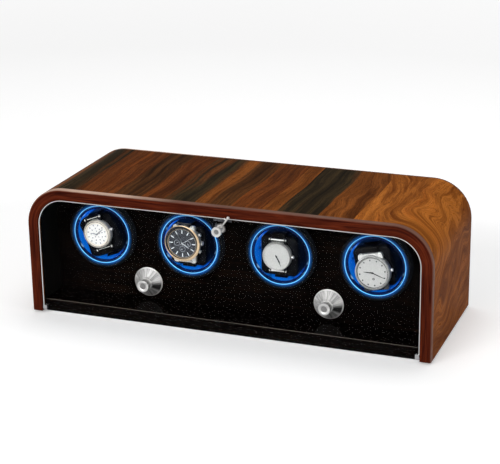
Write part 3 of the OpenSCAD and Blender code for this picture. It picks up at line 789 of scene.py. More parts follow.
class Mesh:
    """A piece's mesh, made in place in the object's frame."""

    def __init__(self, name: str) -> None:
        """Starts an empty mesh.

        Args:
            name: The piece's name.
        """
        self.name = name
        self.data = bmesh.new()

    def ring(self, points: list[Vector]) -> list[bmesh.types.BMVert]:
        """Adds loose vertices."""
        return [self.data.verts.new(p) for p in points]

    def skin(self, rings: list[list[bmesh.types.BMVert]], closed: bool, looped: bool = False) -> None:
        """Joins neighbouring rows of vertices with faces.

        Args:
            rings: Rows of equal length.
            closed: Whether each row closes on itself.
            looped: Whether the last row joins the first.
        """
        rows = rings + [rings[0]] if looped else rings
        for first, second in zip(rows, rows[1:]):
            count = len(first)
            for i in range(count if closed else count - 1):
                j = (i + 1) % count
                self.data.faces.new((first[i], first[j], second[j], second[i]))

    def bar(self, rings: list[list[bmesh.types.BMVert]]) -> None:
        """Joins closed rows of vertices with faces, and closes both ends.

        Args:
            rings: Rows of equal length.
        """
        self.skin(rings, closed=True)
        self.data.faces.new(rings[0])
        self.data.faces.new(rings[-1])

    def lathe(self, centre: tuple[float, float, float], profile: list[tuple[float, float]],
              steps: int = 64) -> None:
        """Turns a profile about an axis that points forward.

        Args:
            centre: The axis at distance 0.
            profile: Pairs of radius and forward distance, in order; a radius of 0 closes a pole.
            steps: Steps round the axis.
        """
        x, y, z = centre
        rows = []
        for radius, reach in profile:
            if radius <= 0:
                rows.append([self.data.verts.new((x, y - reach, z))])
                continue
            rows.append(self.ring([
                Vector((x + radius * math.cos(a), y - reach, z + radius * math.sin(a)))
                for a in (2 * math.pi * i / steps for i in range(steps))
            ]))
        for first, second in zip(rows, rows[1:]):
            for i in range(steps):
                j = (i + 1) % steps
                corners = [first[i % len(first)], first[j % len(first)],
                           second[j % len(second)], second[i % len(second)]]
                unique = list(dict.fromkeys(corners))
                if len(unique) > 2:
                    self.data.faces.new(unique)

    def prism(self, outline: list[tuple[float, float]], front: float, back: float) -> None:
        """Adds a flat shape with thickness.

        Args:
            outline: Its corners as pairs of X and Z, in order.
            front: The Y of its front.
            back: The Y of its back.
        """
        self.bar([self.ring([Vector((x, y, z)) for x, z in outline]) for y in (front, back)])

    def turn(self, matrix: Matrix) -> None:
        """Moves everything made so far."""
        bmesh.ops.transform(self.data, matrix=matrix, verts=self.data.verts)

    def done(self, material: bpy.types.Material, smooth: bool = True,
             round_off: float = 0.0) -> bpy.types.Object:
        """Closes the mesh and makes its object.

        Args:
            material: The piece's finish.
            smooth: Whether its faces are shaded smoothly up to 35 degrees.
            round_off: Width of a bevel on its sharp edges, in metres.

        Returns:
            The object.
        """
        bmesh.ops.remove_doubles(self.data, verts=self.data.verts, dist=1e-7)
        bmesh.ops.recalc_face_normals(self.data, faces=self.data.faces)
        if round_off > 0:
            sharp = [e for e in self.data.edges if e.is_manifold and e.calc_face_angle() > 0.7]
            bmesh.ops.bevel(self.data, geom=sharp, offset=round_off, segments=2, affect="EDGES")
        data = bpy.data.meshes.new(self.name)
        self.data.to_mesh(data)
        self.data.free()
        data.materials.append(material)
        if smooth:
            data.shade_smooth()
            data.set_sharp_from_angle(angle=math.radians(35))
        return add_piece(self.name, data)


class RepeatTree:
    """A Geometry Nodes tree with named inputs, whose copies are made into a plain mesh."""

    def __init__(self, name: str, inputs: dict[str, str]) -> None:
        """Starts the tree.

        Args:
            name: The tree's name.
            inputs: The kind of each input, by the input's name.
        """
        self.tree = bpy.data.node_groups.new(name, "GeometryNodeTree")
        face = self.tree.interface
        face.new_socket("Geometry", in_out="OUTPUT", socket_type="NodeSocketGeometry")
        self.sockets = {key: face.new_socket(key, in_out="INPUT", socket_type="NodeSocket" + kind)
                        for key, kind in (*inputs.items(), ("Finish", "Material"))}
        self.source = self.add("NodeGroupInput")
        self.link = self.tree.links.new

    def add(self, kind: str) -> bpy.types.Node:
        """Adds a node."""
        return self.tree.nodes.new(kind)

    def dress(self, copies: Socket) -> None:
        """Ends the tree: makes the copies real and gives them their finish.

        Args:
            copies: The placed copies.
        """
        real, dressed = self.add("GeometryNodeRealizeInstances"), self.add("GeometryNodeSetMaterial")
        self.link(copies, real.inputs[0])
        self.link(real.outputs[0], dressed.inputs["Geometry"])
        self.link(self.source.outputs["Finish"], dressed.inputs["Material"])
        self.link(dressed.outputs[0], self.add("NodeGroupOutput").inputs[0])

    def mesh(self, name: str, data: bpy.types.Mesh, **values: object) -> bpy.types.Mesh:
        """Makes a plain mesh of the copies.

        Args:
            name: The piece's name.
            data: The mesh that the tree works on.
            **values: The inputs by name.

        Returns:
            The mesh.
        """
        holder = add_piece(name + "_pattern", data)
        modifier = holder.modifiers.new("pattern", "NODES")
        modifier.node_group = self.tree
        for key, value in values.items():
            modifier[self.sockets[key].identifier] = value
        made = plain_mesh(holder)
        bpy.data.objects.remove(holder)
        made.name = name
        return made


class RingPattern(RepeatTree):
    """Equal blocks set round a circle in the XY plane."""

    def __init__(self) -> None:
        """Builds the tree."""
        super().__init__("blocks_round_a_circle", {"Count": "Int", "Radius": "Float", "Block": "Vector"})
        given, link = self.source.outputs, self.link
        circle, block = self.add("GeometryNodeMeshCircle"), self.add("GeometryNodeMeshCube")
        points, index = self.add("GeometryNodeInstanceOnPoints"), self.add("GeometryNodeInputIndex")
        step, angle = self.add("ShaderNodeMath"), self.add("ShaderNodeMath")
        turn = self.add("ShaderNodeCombineXYZ")
        step.operation, angle.operation = "DIVIDE", "MULTIPLY"
        step.inputs[0].default_value = 2 * math.pi
        link(given["Count"], circle.inputs["Vertices"])
        link(given["Radius"], circle.inputs["Radius"])
        link(given["Block"], block.inputs["Size"])
        link(circle.outputs["Mesh"], points.inputs["Points"])
        link(block.outputs["Mesh"], points.inputs["Instance"])
        link(given["Count"], step.inputs[1])
        link(index.outputs[0], angle.inputs[0])
        link(step.outputs[0], angle.inputs[1])
        link(angle.outputs[0], turn.inputs["Z"])
        link(turn.outputs[0], points.inputs["Rotation"])
        self.dress(points.outputs[0])

    def build(self, name: str, count: int, radius: float, block: tuple[float, float, float],
              finish: bpy.types.Material, centre: tuple[float, float, float]) -> bpy.types.Object:
        """Makes a plain mesh of the blocks, upright and facing forward.

        Args:
            name: The piece's name.
            count: The number of blocks, 3 or more.
            radius: Their distance from the centre.
            block: A block's size outward, round the circle and forward.
            finish: Their material.
            centre: The circle's centre.

        Returns:
            The object.
        """
        empty = bpy.data.meshes.new(name + "_pattern")
        data = self.mesh(name, empty, Count=count, Radius=radius, Block=block, Finish=finish)
        data.transform(Matrix.Translation(centre) @ Matrix.Rotation(math.radians(90), 4, "X"))
        return add_piece(name, data)


class StitchLine(RepeatTree):
    """Short stitches laid along every edge line of a mesh."""

    def __init__(self) -> None:
        """Builds the tree."""
        super().__init__("stitches_along_a_seam",
                         {"Geometry": "Geometry", "Spacing": "Float", "Stitch": "Vector"})
        given, link = self.source.outputs, self.link
        curve, points = self.add("GeometryNodeMeshToCurve"), self.add("GeometryNodeCurveToPoints")
        points.mode = "LENGTH"
        block, laid = self.add("GeometryNodeMeshCube"), self.add("GeometryNodeInstanceOnPoints")
        link(given["Geometry"], curve.inputs[0])
        link(curve.outputs[0], points.inputs["Curve"])
        link(given["Spacing"], points.inputs["Length"])
        link(given["Stitch"], block.inputs["Size"])
        link(points.outputs["Points"], laid.inputs["Points"])
        link(points.outputs["Rotation"], laid.inputs["Rotation"])
        link(block.outputs["Mesh"], laid.inputs["Instance"])
        self.dress(laid.outputs[0])

    def build(self, name: str, seams: list[list[Vector]], spacing: float,
              stitch: tuple[float, float, float], finish: bpy.types.Material) -> bpy.types.Object:
        """Makes a plain mesh of stitches.

        Args:
            name: The piece's name.
            seams: The lines that they follow.
            spacing: The distance between them.
            stitch: A stitch's width, height and length.
            finish: Their material.

        Returns:
            The object.
        """
        data = bpy.data.meshes.new(name + "_seams")
        edges, start = [], 0
        for seam in seams:
            edges += [(start + i, start + i + 1) for i in range(len(seam) - 1)]
            start += len(seam)
        data.from_pydata([point for seam in seams for point in seam], edges, [])
        return add_piece(name, self.mesh(name, data, Spacing=spacing, Stitch=stitch, Finish=finish))


@dataclass(frozen=True)
class Seat:
    """A holder's own frame, with X and Z from its drum's axis, before it is turned in the drum."""

    number: int
    turn: float

    def axis(self) -> tuple[float, float]:
        """The X and Z of the drum's axis."""
        low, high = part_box(f"drum_cup_{self.number}")
        return (low.x + high.x) / 2, (low.z + high.z) / 2

    def back(self) -> float:
        """The Y of the cushion's front, which the watch rests on."""
        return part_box(f"cushion_{self.number}")[0].y

    def settle(self, piece: bpy.types.Object, slot: str) -> bpy.types.Object:
        """Moves a piece from this frame to its place, and lets it ride on the holder.

        Args:
            piece: The piece.
            slot: Its material slot; not used.

        Returns:
            The piece.
        """
        x, z = self.axis()
        turn = Matrix.Rotation(-math.radians(self.turn), 4, "Y")
        piece.data.transform(Matrix.Translation((x, 0, z)) @ turn)
        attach(piece, f"holder_{self.number}")
        return piece


class Face(Enum):
    """What is on a watch's dial."""

    SPECKLED = "speckled"
    CHRONOGRAPH = "chronograph"
    PLAIN = "plain"
    DOTTED = "dotted"


@dataclass(frozen=True)
class WatchLook:
    """One watch: its sizes in millimetres, its colours and where its hands point.

    Attributes:
        face: What is on its dial.
        case: The case's radius.
        dial_radius: The dial's radius.
        bezel: The bezel's width.
        rise: The centre's height above the drum's axis.
        aside: The centre's distance right of the axis.
        turn: How far its holder is turned in the drum, in degrees.
        strap_width: The strap's width.
        lug: A lug's width, and its reach beyond the case.
        dial: The dial's colour.
        marks: The colour of the dial's marks.
        hands: The hands' colour.
        rim: The bezel's colour.
        lug_tones: The colours of the upper and the lower lugs.
        hour: Where the hour hand points, in hours on the dial.
        minute: Where the minute hand points.
        second: Where the second hand points, if it has one.
        tips: How much further than usual the upper and the lower lugs reach.
        bar_radius: The radius of the spring bars' ends.
        bar_core: The radius of their middles.
    """

    face: Face
    case: float
    dial_radius: float
    bezel: float
    rise: float
    aside: float
    turn: float
    strap_width: float
    lug: tuple[float, float]
    dial: str
    marks: str
    hands: str
    rim: str
    lug_tones: tuple[str, str]
    hour: float
    minute: float
    second: float | None = None
    tips: tuple[float, float] = (0.0, 0.0)
    bar_radius: float = 0.6
    bar_core: float = 0.6

    @property
    def radius(self) -> float:
        """The bezel's outer radius."""
        return self.dial_radius + self.bezel

    @property
    def linked(self) -> bool:
        """Whether links fill the space between the lugs, and the bars and the dial's ring are dark."""
        return self.face in (Face.CHRONOGRAPH, Face.DOTTED)

    @property
    def bar_rise(self) -> float:
        """The distance of each spring bar from the watch's centre."""
        return self.case + self.lug[1] / 2


@dataclass
class Watch:
    """A watch with its case, bezel, lugs, crown, dial, marks, hands and crystal."""

    seat: Seat
    look: WatchLook
    pattern: RingPattern
    crystal: bpy.types.Material
    dark: bpy.types.Material
    reach: dict[str, float] = field(default_factory=lambda: {
        "dial": 1.38, "mark": 1.15, "low_hand": 0.95, "high_hand": 0.72, "crystal": 0.35})

    def name(self, part: str) -> str:
        """A piece's name."""
        return f"watch_{self.seat.number}_{part}"

    def centre(self) -> tuple[float, float, float]:
        """The middle of the case's front plane, in the seat's frame."""
        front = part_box(f"watch_case_{self.seat.number}")[0].y
        return (self.look.aside * MM, front, self.look.rise * MM)

    def thick(self) -> float:
        """The case's thickness, in millimetres."""
        return (self.seat.back() - self.centre()[1]) / MM

    def at(self, x: float, z: float, y: float = 0.0) -> tuple[float, float, float]:
        """A place right of and above the watch's centre, and y behind its front, in millimetres."""
        cx, cy, cz = self.centre()
        return (cx + x * MM, cy + y * MM, cz + z * MM)

    def disc(self, part: str, radius: float, depth: float, finish: bpy.types.Material,
             aside: tuple[float, float] = (0.0, 0.0), inner: float = 0.0,
             thick: float = 0.1) -> bpy.types.Object:
        """Makes a flat disc or ring behind the case's front plane, with sizes in millimetres.

        Args:
            part: The piece's name.
            radius: Its outer radius.
            depth: How far its front is behind the case's front.
            finish: Its material.
            aside: Its place right of and above the watch's centre.
            inner: The radius of its hole, or 0.
            thick: Its thickness.

        Returns:
            The object.
        """
        mesh = Mesh(self.name(part))
        r, back, front = radius * MM, -(depth + thick) * MM, -depth * MM
        soft = min(0.12, thick * 0.4) * MM
        if inner > 0:
            q = inner * MM
            outline = [(q, back), (r, back), (r, front - soft), (r - soft, front),
                       (q + soft, front), (q, front - soft), (q, back)]
        else:
            outline = [(0, back), (r, back), (r, front - soft), (r - soft, front), (0, front)]
        mesh.lathe(self.at(*aside), outline)
        return mesh.done(finish)

    def turned(self, part: str, profile: list[tuple[float, float]], finish: bpy.types.Material,
               aside: tuple[float, float] = (0.0, 0.0)) -> bpy.types.Object:
        """Makes a piece of the case on its axis.

        Args:
            part: The piece's name.
            profile: Pairs of radius and distance in front of the cushion, in millimetres.
            finish: Its material.
            aside: Its axis right of and above the watch's centre, in millimetres.

        Returns:
            The object.
        """
        x, _, z = self.at(*aside)
        mesh = Mesh(self.name(part))
        mesh.lathe((x, self.seat.back(), z), [(r * MM, d * MM) for r, d in profile], 96)
        return mesh.done(finish)

    def hand(self, part: str, clock: float, length: float, width: float, depth: float,
             finish: bpy.types.Material, aside: tuple[float, float] = (0.0, 0.0)) -> bpy.types.Object:
        """Makes a tapered hand, with sizes in millimetres.

        Args:
            part: The piece's name.
            clock: Where it points, in hours on the dial.
            length: Its length.
            width: Its width at the axis.
            depth: How far it is behind the case's front.
            finish: Its material.
            aside: Its axis right of and above the watch's centre.

        Returns:
            The object.
        """
        a = math.radians(clock * 30)
        out, across = Vector((math.sin(a), 0, math.cos(a))), Vector((math.cos(a), 0, -math.sin(a)))
        base = Vector(self.at(*aside, depth))
        mesh = Mesh(self.name(part))
        outline = [(-0.16, 0.4), (0.0, 0.5), (0.62, 0.42), (1.0, 0.12)]
        rows = []
        for share, half in outline:
            points = [base + out * share * length * MM + across * side * half * width * MM
                      + Vector((0, lift * MM, 0))
                      for side, lift in ((-1, 0), (-1, -0.12), (1, -0.12), (1, 0))]
            rows.append(mesh.ring(points))
        mesh.bar(rows)
        return mesh.done(finish, smooth=False)

    def marks(self, finish: bpy.types.Material) -> list[bpy.types.Object]:
        """Makes the marks of this kind of dial.

        Args:
            finish: Their material.

        Returns:
            The objects.
        """
        rings: dict[Face, tuple[tuple[str, int, float, tuple[float, float, float]], ...]] = {
            Face.CHRONOGRAPH: (("hour_marks", 12, 0.80, (4.6, 1.0, 0.25)),
                               ("minute_marks", 60, 0.95, (0.9, 0.24, 0.12))),
            Face.DOTTED: (("hour_marks", 12, 0.82, (1.7, 1.5, 0.2)),
                          ("minute_marks", 60, 0.95, (0.6, 0.2, 0.1))),
            Face.PLAIN: (("hour_marks", 12, 0.90, (1.0, 0.3, 0.12)),),
            Face.SPECKLED: (("hour_marks", 12, 0.82, (1.9, 1.3, 0.15)),
                            ("inner_marks", 9, 0.54, (1.6, 1.2, 0.12)),
                            ("centre_marks", 5, 0.28, (1.4, 1.1, 0.12))),
        }
        made = []
        for part, count, share, block in rings[self.look.face]:
            size = (block[0] * MM, block[1] * MM, block[2] * MM)
            made.append(self.pattern.build(self.name(part), count, self.look.dial_radius * share * MM,
                                           size, finish, self.at(0, 0, self.reach["mark"])))
        return made

    def end_links(self, steel: bpy.types.Material) -> list[bpy.types.Object]:
        """Makes the links that fill the space between the lugs.

        Args:
            steel: The finish of the link that isn't darkened by painted shade.

        Returns:
            The objects.
        """
        look, pieces = self.look, []
        half = look.strap_width / 2 - 0.05
        x, _, z = self.centre()
        for part, b, tip in (("upper_link", 1, look.tips[0]), ("lower_link", -1, look.tips[1])):
            link = Mesh(self.name(part))
            low, high = look.case - 2, look.case + look.lug[1] + tip
            outline = [(-half, low), (half, low), (half, high - 1.0), (half - 0.6, high - 0.6),
                       (0.6 - half, high - 0.6), (-half, high - 1.0)]
            link.prism([(x + u * MM, z + b * v * MM) for u, v in outline],
                       self.seat.back() - 5.5 * MM, self.seat.back() - 2.0 * MM)
            self.lean(link)
            # Painted shade: the chronograph's upper link and the dotted watch's lower link take the dark
            # finish.
            dark = (b > 0) == (look.face is Face.CHRONOGRAPH)
            pieces.append(link.done(self.dark if dark else steel, round_off=0.3 * MM))
        return pieces

    def lean(self, mesh: Mesh, share: float = 0.25) -> None:
        """Bends what stands out above and below the case back towards the wrist.

        Args:
            mesh: The mesh.
            share: How far it goes back for each length outward.
        """
        z, start = self.centre()[2], (self.look.case - 1.0) * MM
        for v in mesh.data.verts:
            v.co.y += share * max(0.0, abs(v.co.z - z) - start)

    def lugs(self, bright: bpy.types.Material) -> list[bpy.types.Object]:
        """Makes the lugs and the spring bars.

        Args:
            bright: The bars' finish.

        Returns:
            The objects.
        """
        look, back = self.look, self.seat.back()
        width, reach = look.lug
        root, side = look.case - 6.5, look.strap_width / 2
        outer = side + width
        x, _, z = self.centre()
        pieces = []
        for part, b, tip, tone in zip(("upper_lugs", "lower_lugs"), (1, -1), look.tips, look.lug_tones):
            mesh = Mesh(self.name(part))
            top = look.case + reach + tip
            for a in (-1, 1):
                outline = [(side, root), (outer + 1.2, root + 1.0), (outer + 0.5, top - 2.2),
                           (outer - 0.2, top - 0.5), (side + width * 0.6, top), (side, top)]
                mesh.prism([(x + a * u * MM, z + b * v * MM) for u, v in outline],
                           back - 6.0 * MM, back - 1.5 * MM)
            self.lean(mesh)
            steel = Metal(self.name(part), tint(tone), 0.28, metallic=0.6).build()
            pieces.append(mesh.done(steel, round_off=0.35 * MM))
        bars = Mesh(self.name("spring_bars"))
        r, half = look.bar_radius, side + (width + 0.5 if look.bar_radius >= 1.0 else 0.2)
        ends = [(0, half + 0.6), (r * 0.9, half + 0.5), (r * 1.35, half), (r * 1.35, half - 0.8)]
        profile = [*ends, (look.bar_core, half - 1.4), (look.bar_core, 1.4 - half),
                   *((q, -d) for q, d in reversed(ends))]
        for b in (-1, 1):
            rod = Mesh("rod")
            rod.lathe((0, 0, 0), [(q * MM, d * MM) for q, d in profile], 20)
            rod.turn(Matrix.Translation((x, back - BAR_BACK, z + b * look.bar_rise * MM))
                     @ Matrix.Rotation(math.radians(90), 4, "Z"))
            data = bpy.data.meshes.new("rod")
            rod.data.to_mesh(data)
            rod.data.free()
            bars.data.from_mesh(data)
        pieces.append(bars.done(bright))
        return pieces

    def stem(self, part: str, angle: float, radius: float, length: float,
             finish: bpy.types.Material) -> bpy.types.Object:
        """Makes a crown or pusher on the case's flank.

        Args:
            part: The piece's name.
            angle: Its place above the 3 o'clock line, in degrees.
            radius: Its radius, in millimetres.
            length: Its length from the flank, in millimetres.
            finish: Its material.

        Returns:
            The object.
        """
        x, _, z = self.centre()
        mesh = Mesh(self.name(part))
        r, sides, groove = radius, 28, 0.92
        profile = [(0, -1), (r * 0.6, -1), (r * 0.6, 0.1), (r * 0.93, 0.2), (r, 0.5), (r, length - 0.5),
                   (r * 0.85, length - 0.1), (r * 0.5, length), (0, length)]
        mesh.lathe((0, 0, 0), [(q * MM, d * MM) for q, d in profile], sides)
        for v in mesh.data.verts:
            number = round(math.degrees(math.atan2(v.co.z, v.co.x)) / (360 / sides))
            if number % 2 and abs(math.hypot(v.co.x, v.co.z) - r * MM) < 1e-6:
                v.co.x *= groove
                v.co.z *= groove
        out = Matrix.Rotation(math.radians(90), 4, "Z")
        mesh.turn(Matrix.Translation((x, self.seat.back() - 4.5 * MM, z))
                  @ Matrix.Rotation(-math.radians(angle), 4, "Y")
                  @ Matrix.Translation((self.look.case * MM, 0, 0)) @ out)
        return mesh.done(finish)

    def inlay(self, shift: tuple[float, float] = (-1.0, 1.15), lip: float = 2.1) -> bpy.types.Object:
        """Makes the dark inlay of a wide bezel, broader at the upper left.

        Args:
            shift: How far its outer edge is right of and above the dial's centre, in millimetres.
            lip: The mean width of the bare metal outside it.

        Returns:
            The inlay.
        """
        look, steps = self.look, 96
        mesh = Mesh(self.name("bezel_inlay"))
        rows = []
        outer, inner = look.radius - lip, look.dial_radius + 0.45
        for radius, move, depth in ((outer, shift, 0.15), (outer, shift, -0.02), (inner, (0, 0), -0.02),
                                    (inner, (0, 0), 0.15)):
            rows.append(mesh.ring([
                Vector(self.at(move[0] + radius * math.cos(a), move[1] + radius * math.sin(a), depth))
                for a in (2 * math.pi * i / steps for i in range(steps))
            ]))
        mesh.skin(rows, closed=True, looped=True)
        return mesh.done(self.dark)

    def body(self, steel: bpy.types.Material, rim: bpy.types.Material) -> list[bpy.types.Object]:
        """Makes the case, its bezel and what stands on its flank.

        Args:
            steel: The case's finish.
            rim: The bezel's finish.

        Returns:
            The objects.
        """
        look, t = self.look, self.thick()
        c, r, d = look.case, look.radius, look.dial_radius
        middle = [(0, 0), (c - 1.6, 0), (c - 0.5, 0.6), (c, 2), (c, t - 3.4), (c - 0.3, t - 3.0),
                  (c - 1.2, t - 3.0), (d, t - 3.0), (0, t - 3.0)]
        pieces = [self.turned("case_middle", middle, steel)]
        if look.face is Face.SPECKLED:
            pieces.append(self.disc("bezel_line", d + 2.2, -0.03, self.dark, inner=d + 1.4, thick=0.3))
        if look.face is Face.DOTTED:
            pieces.append(self.disc("bezel_line", d + 0.95, -0.03, self.dark, inner=d + 0.3, thick=0.3))
        if look.linked:
            pieces += self.end_links(steel)
        if look.face is Face.CHRONOGRAPH:
            step = [(d, t - 3.0), (c + 0.6, t - 3.0), (c + 0.9, t - 2.7), (c + 0.7, t - 2.0), (c, t - 1.7),
                    (d + 0.2, t - 1.7), (d, t - 3.0)]
            pieces += [self.turned("bezel_step", step, steel), self.inlay()]
            bezel = [(d - 0.1, t - 1.7), (r - 0.5, t - 1.7), (r, t - 1.2), (r - 0.3, t - 0.3),
                     (r - 0.9, t), (d + 0.3, t - 0.05), (d - 0.1, t - 0.6), (d - 0.1, t - 1.7)]
        else:
            w = min(1.7, 0.55 * look.bezel)
            bezel = [(d - 0.1, t - 2.9), (r - 0.3 * w, t - 2.9), (r - 0.06 * w, t - 2.5),
                     (r - 0.12 * w, t - 1.6), (r - 0.6 * w, t - 0.5), (r - w, t), (d + 0.15, t - 0.05),
                     (d - 0.1, t - 0.6), (d - 0.1, t - 2.9)]
        pieces.append(self.turned("bezel", bezel, rim))
        large = look.face is Face.CHRONOGRAPH
        pieces.append(self.stem("crown", 0.0, 2.9 if large else 2.1, 3.6 if large else 3.0, steel))
        if large:
            pieces += [self.stem(f"pusher_{n}", side * 28.0, 2.4, 3.4, steel)
                       for n, side in ((1, 1), (2, -1))]
        return pieces

    def build(self) -> list[bpy.types.Object]:
        """Builds the watch.

        Returns:
            Every piece of it.
        """
        look, n = self.look, self.seat.number
        dial = Moulding(f"watch_dial_{n}", tint(look.dial), 0.4, 0.15, 500, 0.02, 0.16, 620.0).build()
        mark = Moulding(f"watch_marks_{n}", tint(look.marks), 0.35, 0.2, 900, 0.02).build()
        hands = Metal(f"watch_hands_{n}", tint(look.hands), 0.3).build()
        rim = Metal(f"watch_rim_{n}", tint(look.rim), 0.3, metallic=0.55).build()
        steel = Metal(f"watch_steel_{n}", tint("dcdbd8"), 0.28, metallic=0.6).build()
        r = look.dial_radius
        bar_tone = "55565a" if look.linked else "f6f5f0"
        bar = Metal(f"watch_bar_{n}", tint(bar_tone), 0.38, metallic=0.5).build()
        pieces = self.body(steel, rim) + self.lugs(bar)
        pieces += [self.disc("dial", r - 0.05, self.reach["dial"], dial),
                   self.disc("inner_ring", r - 0.05, 0.45, self.dark if look.linked else rim,
                             inner=r - 0.6, thick=0.95),
                   self.disc("crystal", r - 0.7, self.reach["crystal"], self.crystal, thick=0.25)]
        pieces += self.marks(mark)
        if look.face is Face.CHRONOGRAPH:
            pale = Moulding("watch_counter", tint("8d9094"), 0.4).build()
            for k, aside in enumerate(((-7.5, 0.0), (7.5, 0.0), (0.0, -7.5))):
                pieces.append(self.disc(f"counter_{k + 1}", 4.0, 1.26, pale, aside, inner=3.4, thick=0.12))
                pieces.append(self.hand(f"counter_hand_{k + 1}", 2.0 + 3 * k, 2.8, 0.5, 1.1, hands, aside))
        if look.face is Face.DOTTED:
            pieces.append(self.disc("counter", 1.5, 1.26, mark, (0.0, -8.0), inner=0.7, thick=0.1))
        pieces.append(self.hand("hour_hand", look.hour, r * 0.56, 1.4, self.reach["low_hand"], hands))
        pieces.append(self.hand("minute_hand", look.minute, r * 0.82, 1.1, self.reach["high_hand"], hands))
        if look.second is not None:
            pieces.append(self.hand("second_hand", look.second, r * 0.86, 0.5, 0.6, hands))
        pieces.append(self.disc("hub", 1.1, 0.55, hands, thick=0.6))
        for piece in pieces:
            self.seat.settle(piece, "watch_steel")
        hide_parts(f"watch_case_{n}")
        return pieces


@dataclass
class Cushion:
    """A padded leather cushion, swollen by cloth once and copied to every seat."""

    leather: bpy.types.Material
    model: int = 2
    voxel: float = 2.4 * MM
    cap: float = 2.2 * MM
    room: float = 34.5 * MM
    shrink: float = 0.965
    pressure: float = 4
    frames: int = 20

    def template(self) -> bpy.types.Mesh:
        """Makes the cushion's mesh in a seat's frame, from the drum whose holder isn't turned.

        Returns:
            The mesh.
        """
        x, z = Seat(self.model, 0).axis()
        node = bpy.data.objects[f"cushion_{self.model}"]
        mesh = bmesh.new()
        mesh.from_mesh(node.data)
        bmesh.ops.remove_doubles(mesh, verts=mesh.verts, dist=1e-6)
        low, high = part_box(f"cushion_{self.model}")
        middle = (low + high) / 2
        for v in mesh.verts:
            v.co = middle + (v.co - middle) * self.shrink - Vector((x, 0, z))
        data = bpy.data.meshes.new("cushion_template")
        mesh.to_mesh(data)
        mesh.free()
        data.materials.clear()
        data.materials.append(self.leather)
        piece = add_piece("cushion_template", data)
        bpy.context.view_layer.objects.active = piece
        remesh = piece.modifiers.new("even_mesh", "REMESH")
        remesh.mode, remesh.voxel_size = "VOXEL", self.voxel
        self.bake(piece)
        before = [v.co.copy() for v in piece.data.vertices]
        self.swell(piece)
        for v, start in zip(piece.data.vertices, before):
            step = v.co - start
            if step.length > self.cap:
                v.co = start + step.normalized() * self.cap
            across = Vector((v.co.x, 0, v.co.z))
            if across.length > self.room:
                v.co -= across.normalized() * (across.length - self.room)
            v.co.y = min(max(v.co.y, low.y), high.y)
        smooth = piece.modifiers.new("soften", "SMOOTH")
        smooth.factor, smooth.iterations = 0.5, 3
        self.bake(piece)
        piece.data.shade_smooth()
        done = piece.data
        bpy.data.objects.remove(piece)
        return done

    @staticmethod
    def bake(piece: bpy.types.Object) -> None:
        """Turns a piece's modifiers into plain mesh.

        Args:
            piece: The piece.
        """
        data = plain_mesh(piece)
        piece.modifiers.clear()
        piece.data = data

    def swell(self, piece: bpy.types.Object) -> None:
        """Fills the cushion by a short cloth simulation.

        Args:
            piece: The cushion.
        """
        cloth = piece.modifiers.new("filling", "CLOTH")
        cloth.settings.use_pressure = True
        cloth.settings.uniform_pressure_force = self.pressure
        cloth.settings.effector_weights.gravity = 0
        for frame in range(1, self.frames + 1):
            bpy.context.scene.frame_set(frame)
        self.bake(piece)
        bpy.context.scene.frame_set(1)

    def build(self, seat: Seat, template: bpy.types.Mesh) -> bpy.types.Object:
        """Sets a copy of the cushion in a seat.

        Args:
            seat: The seat.
            template: The cushion's mesh.

        Returns:
            The cushion.
        """
        piece = add_piece(f"padded_cushion_{seat.number}", template.copy())
        seat.settle(piece, "black_leather")
        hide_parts(f"cushion_{seat.number}")
        return piece


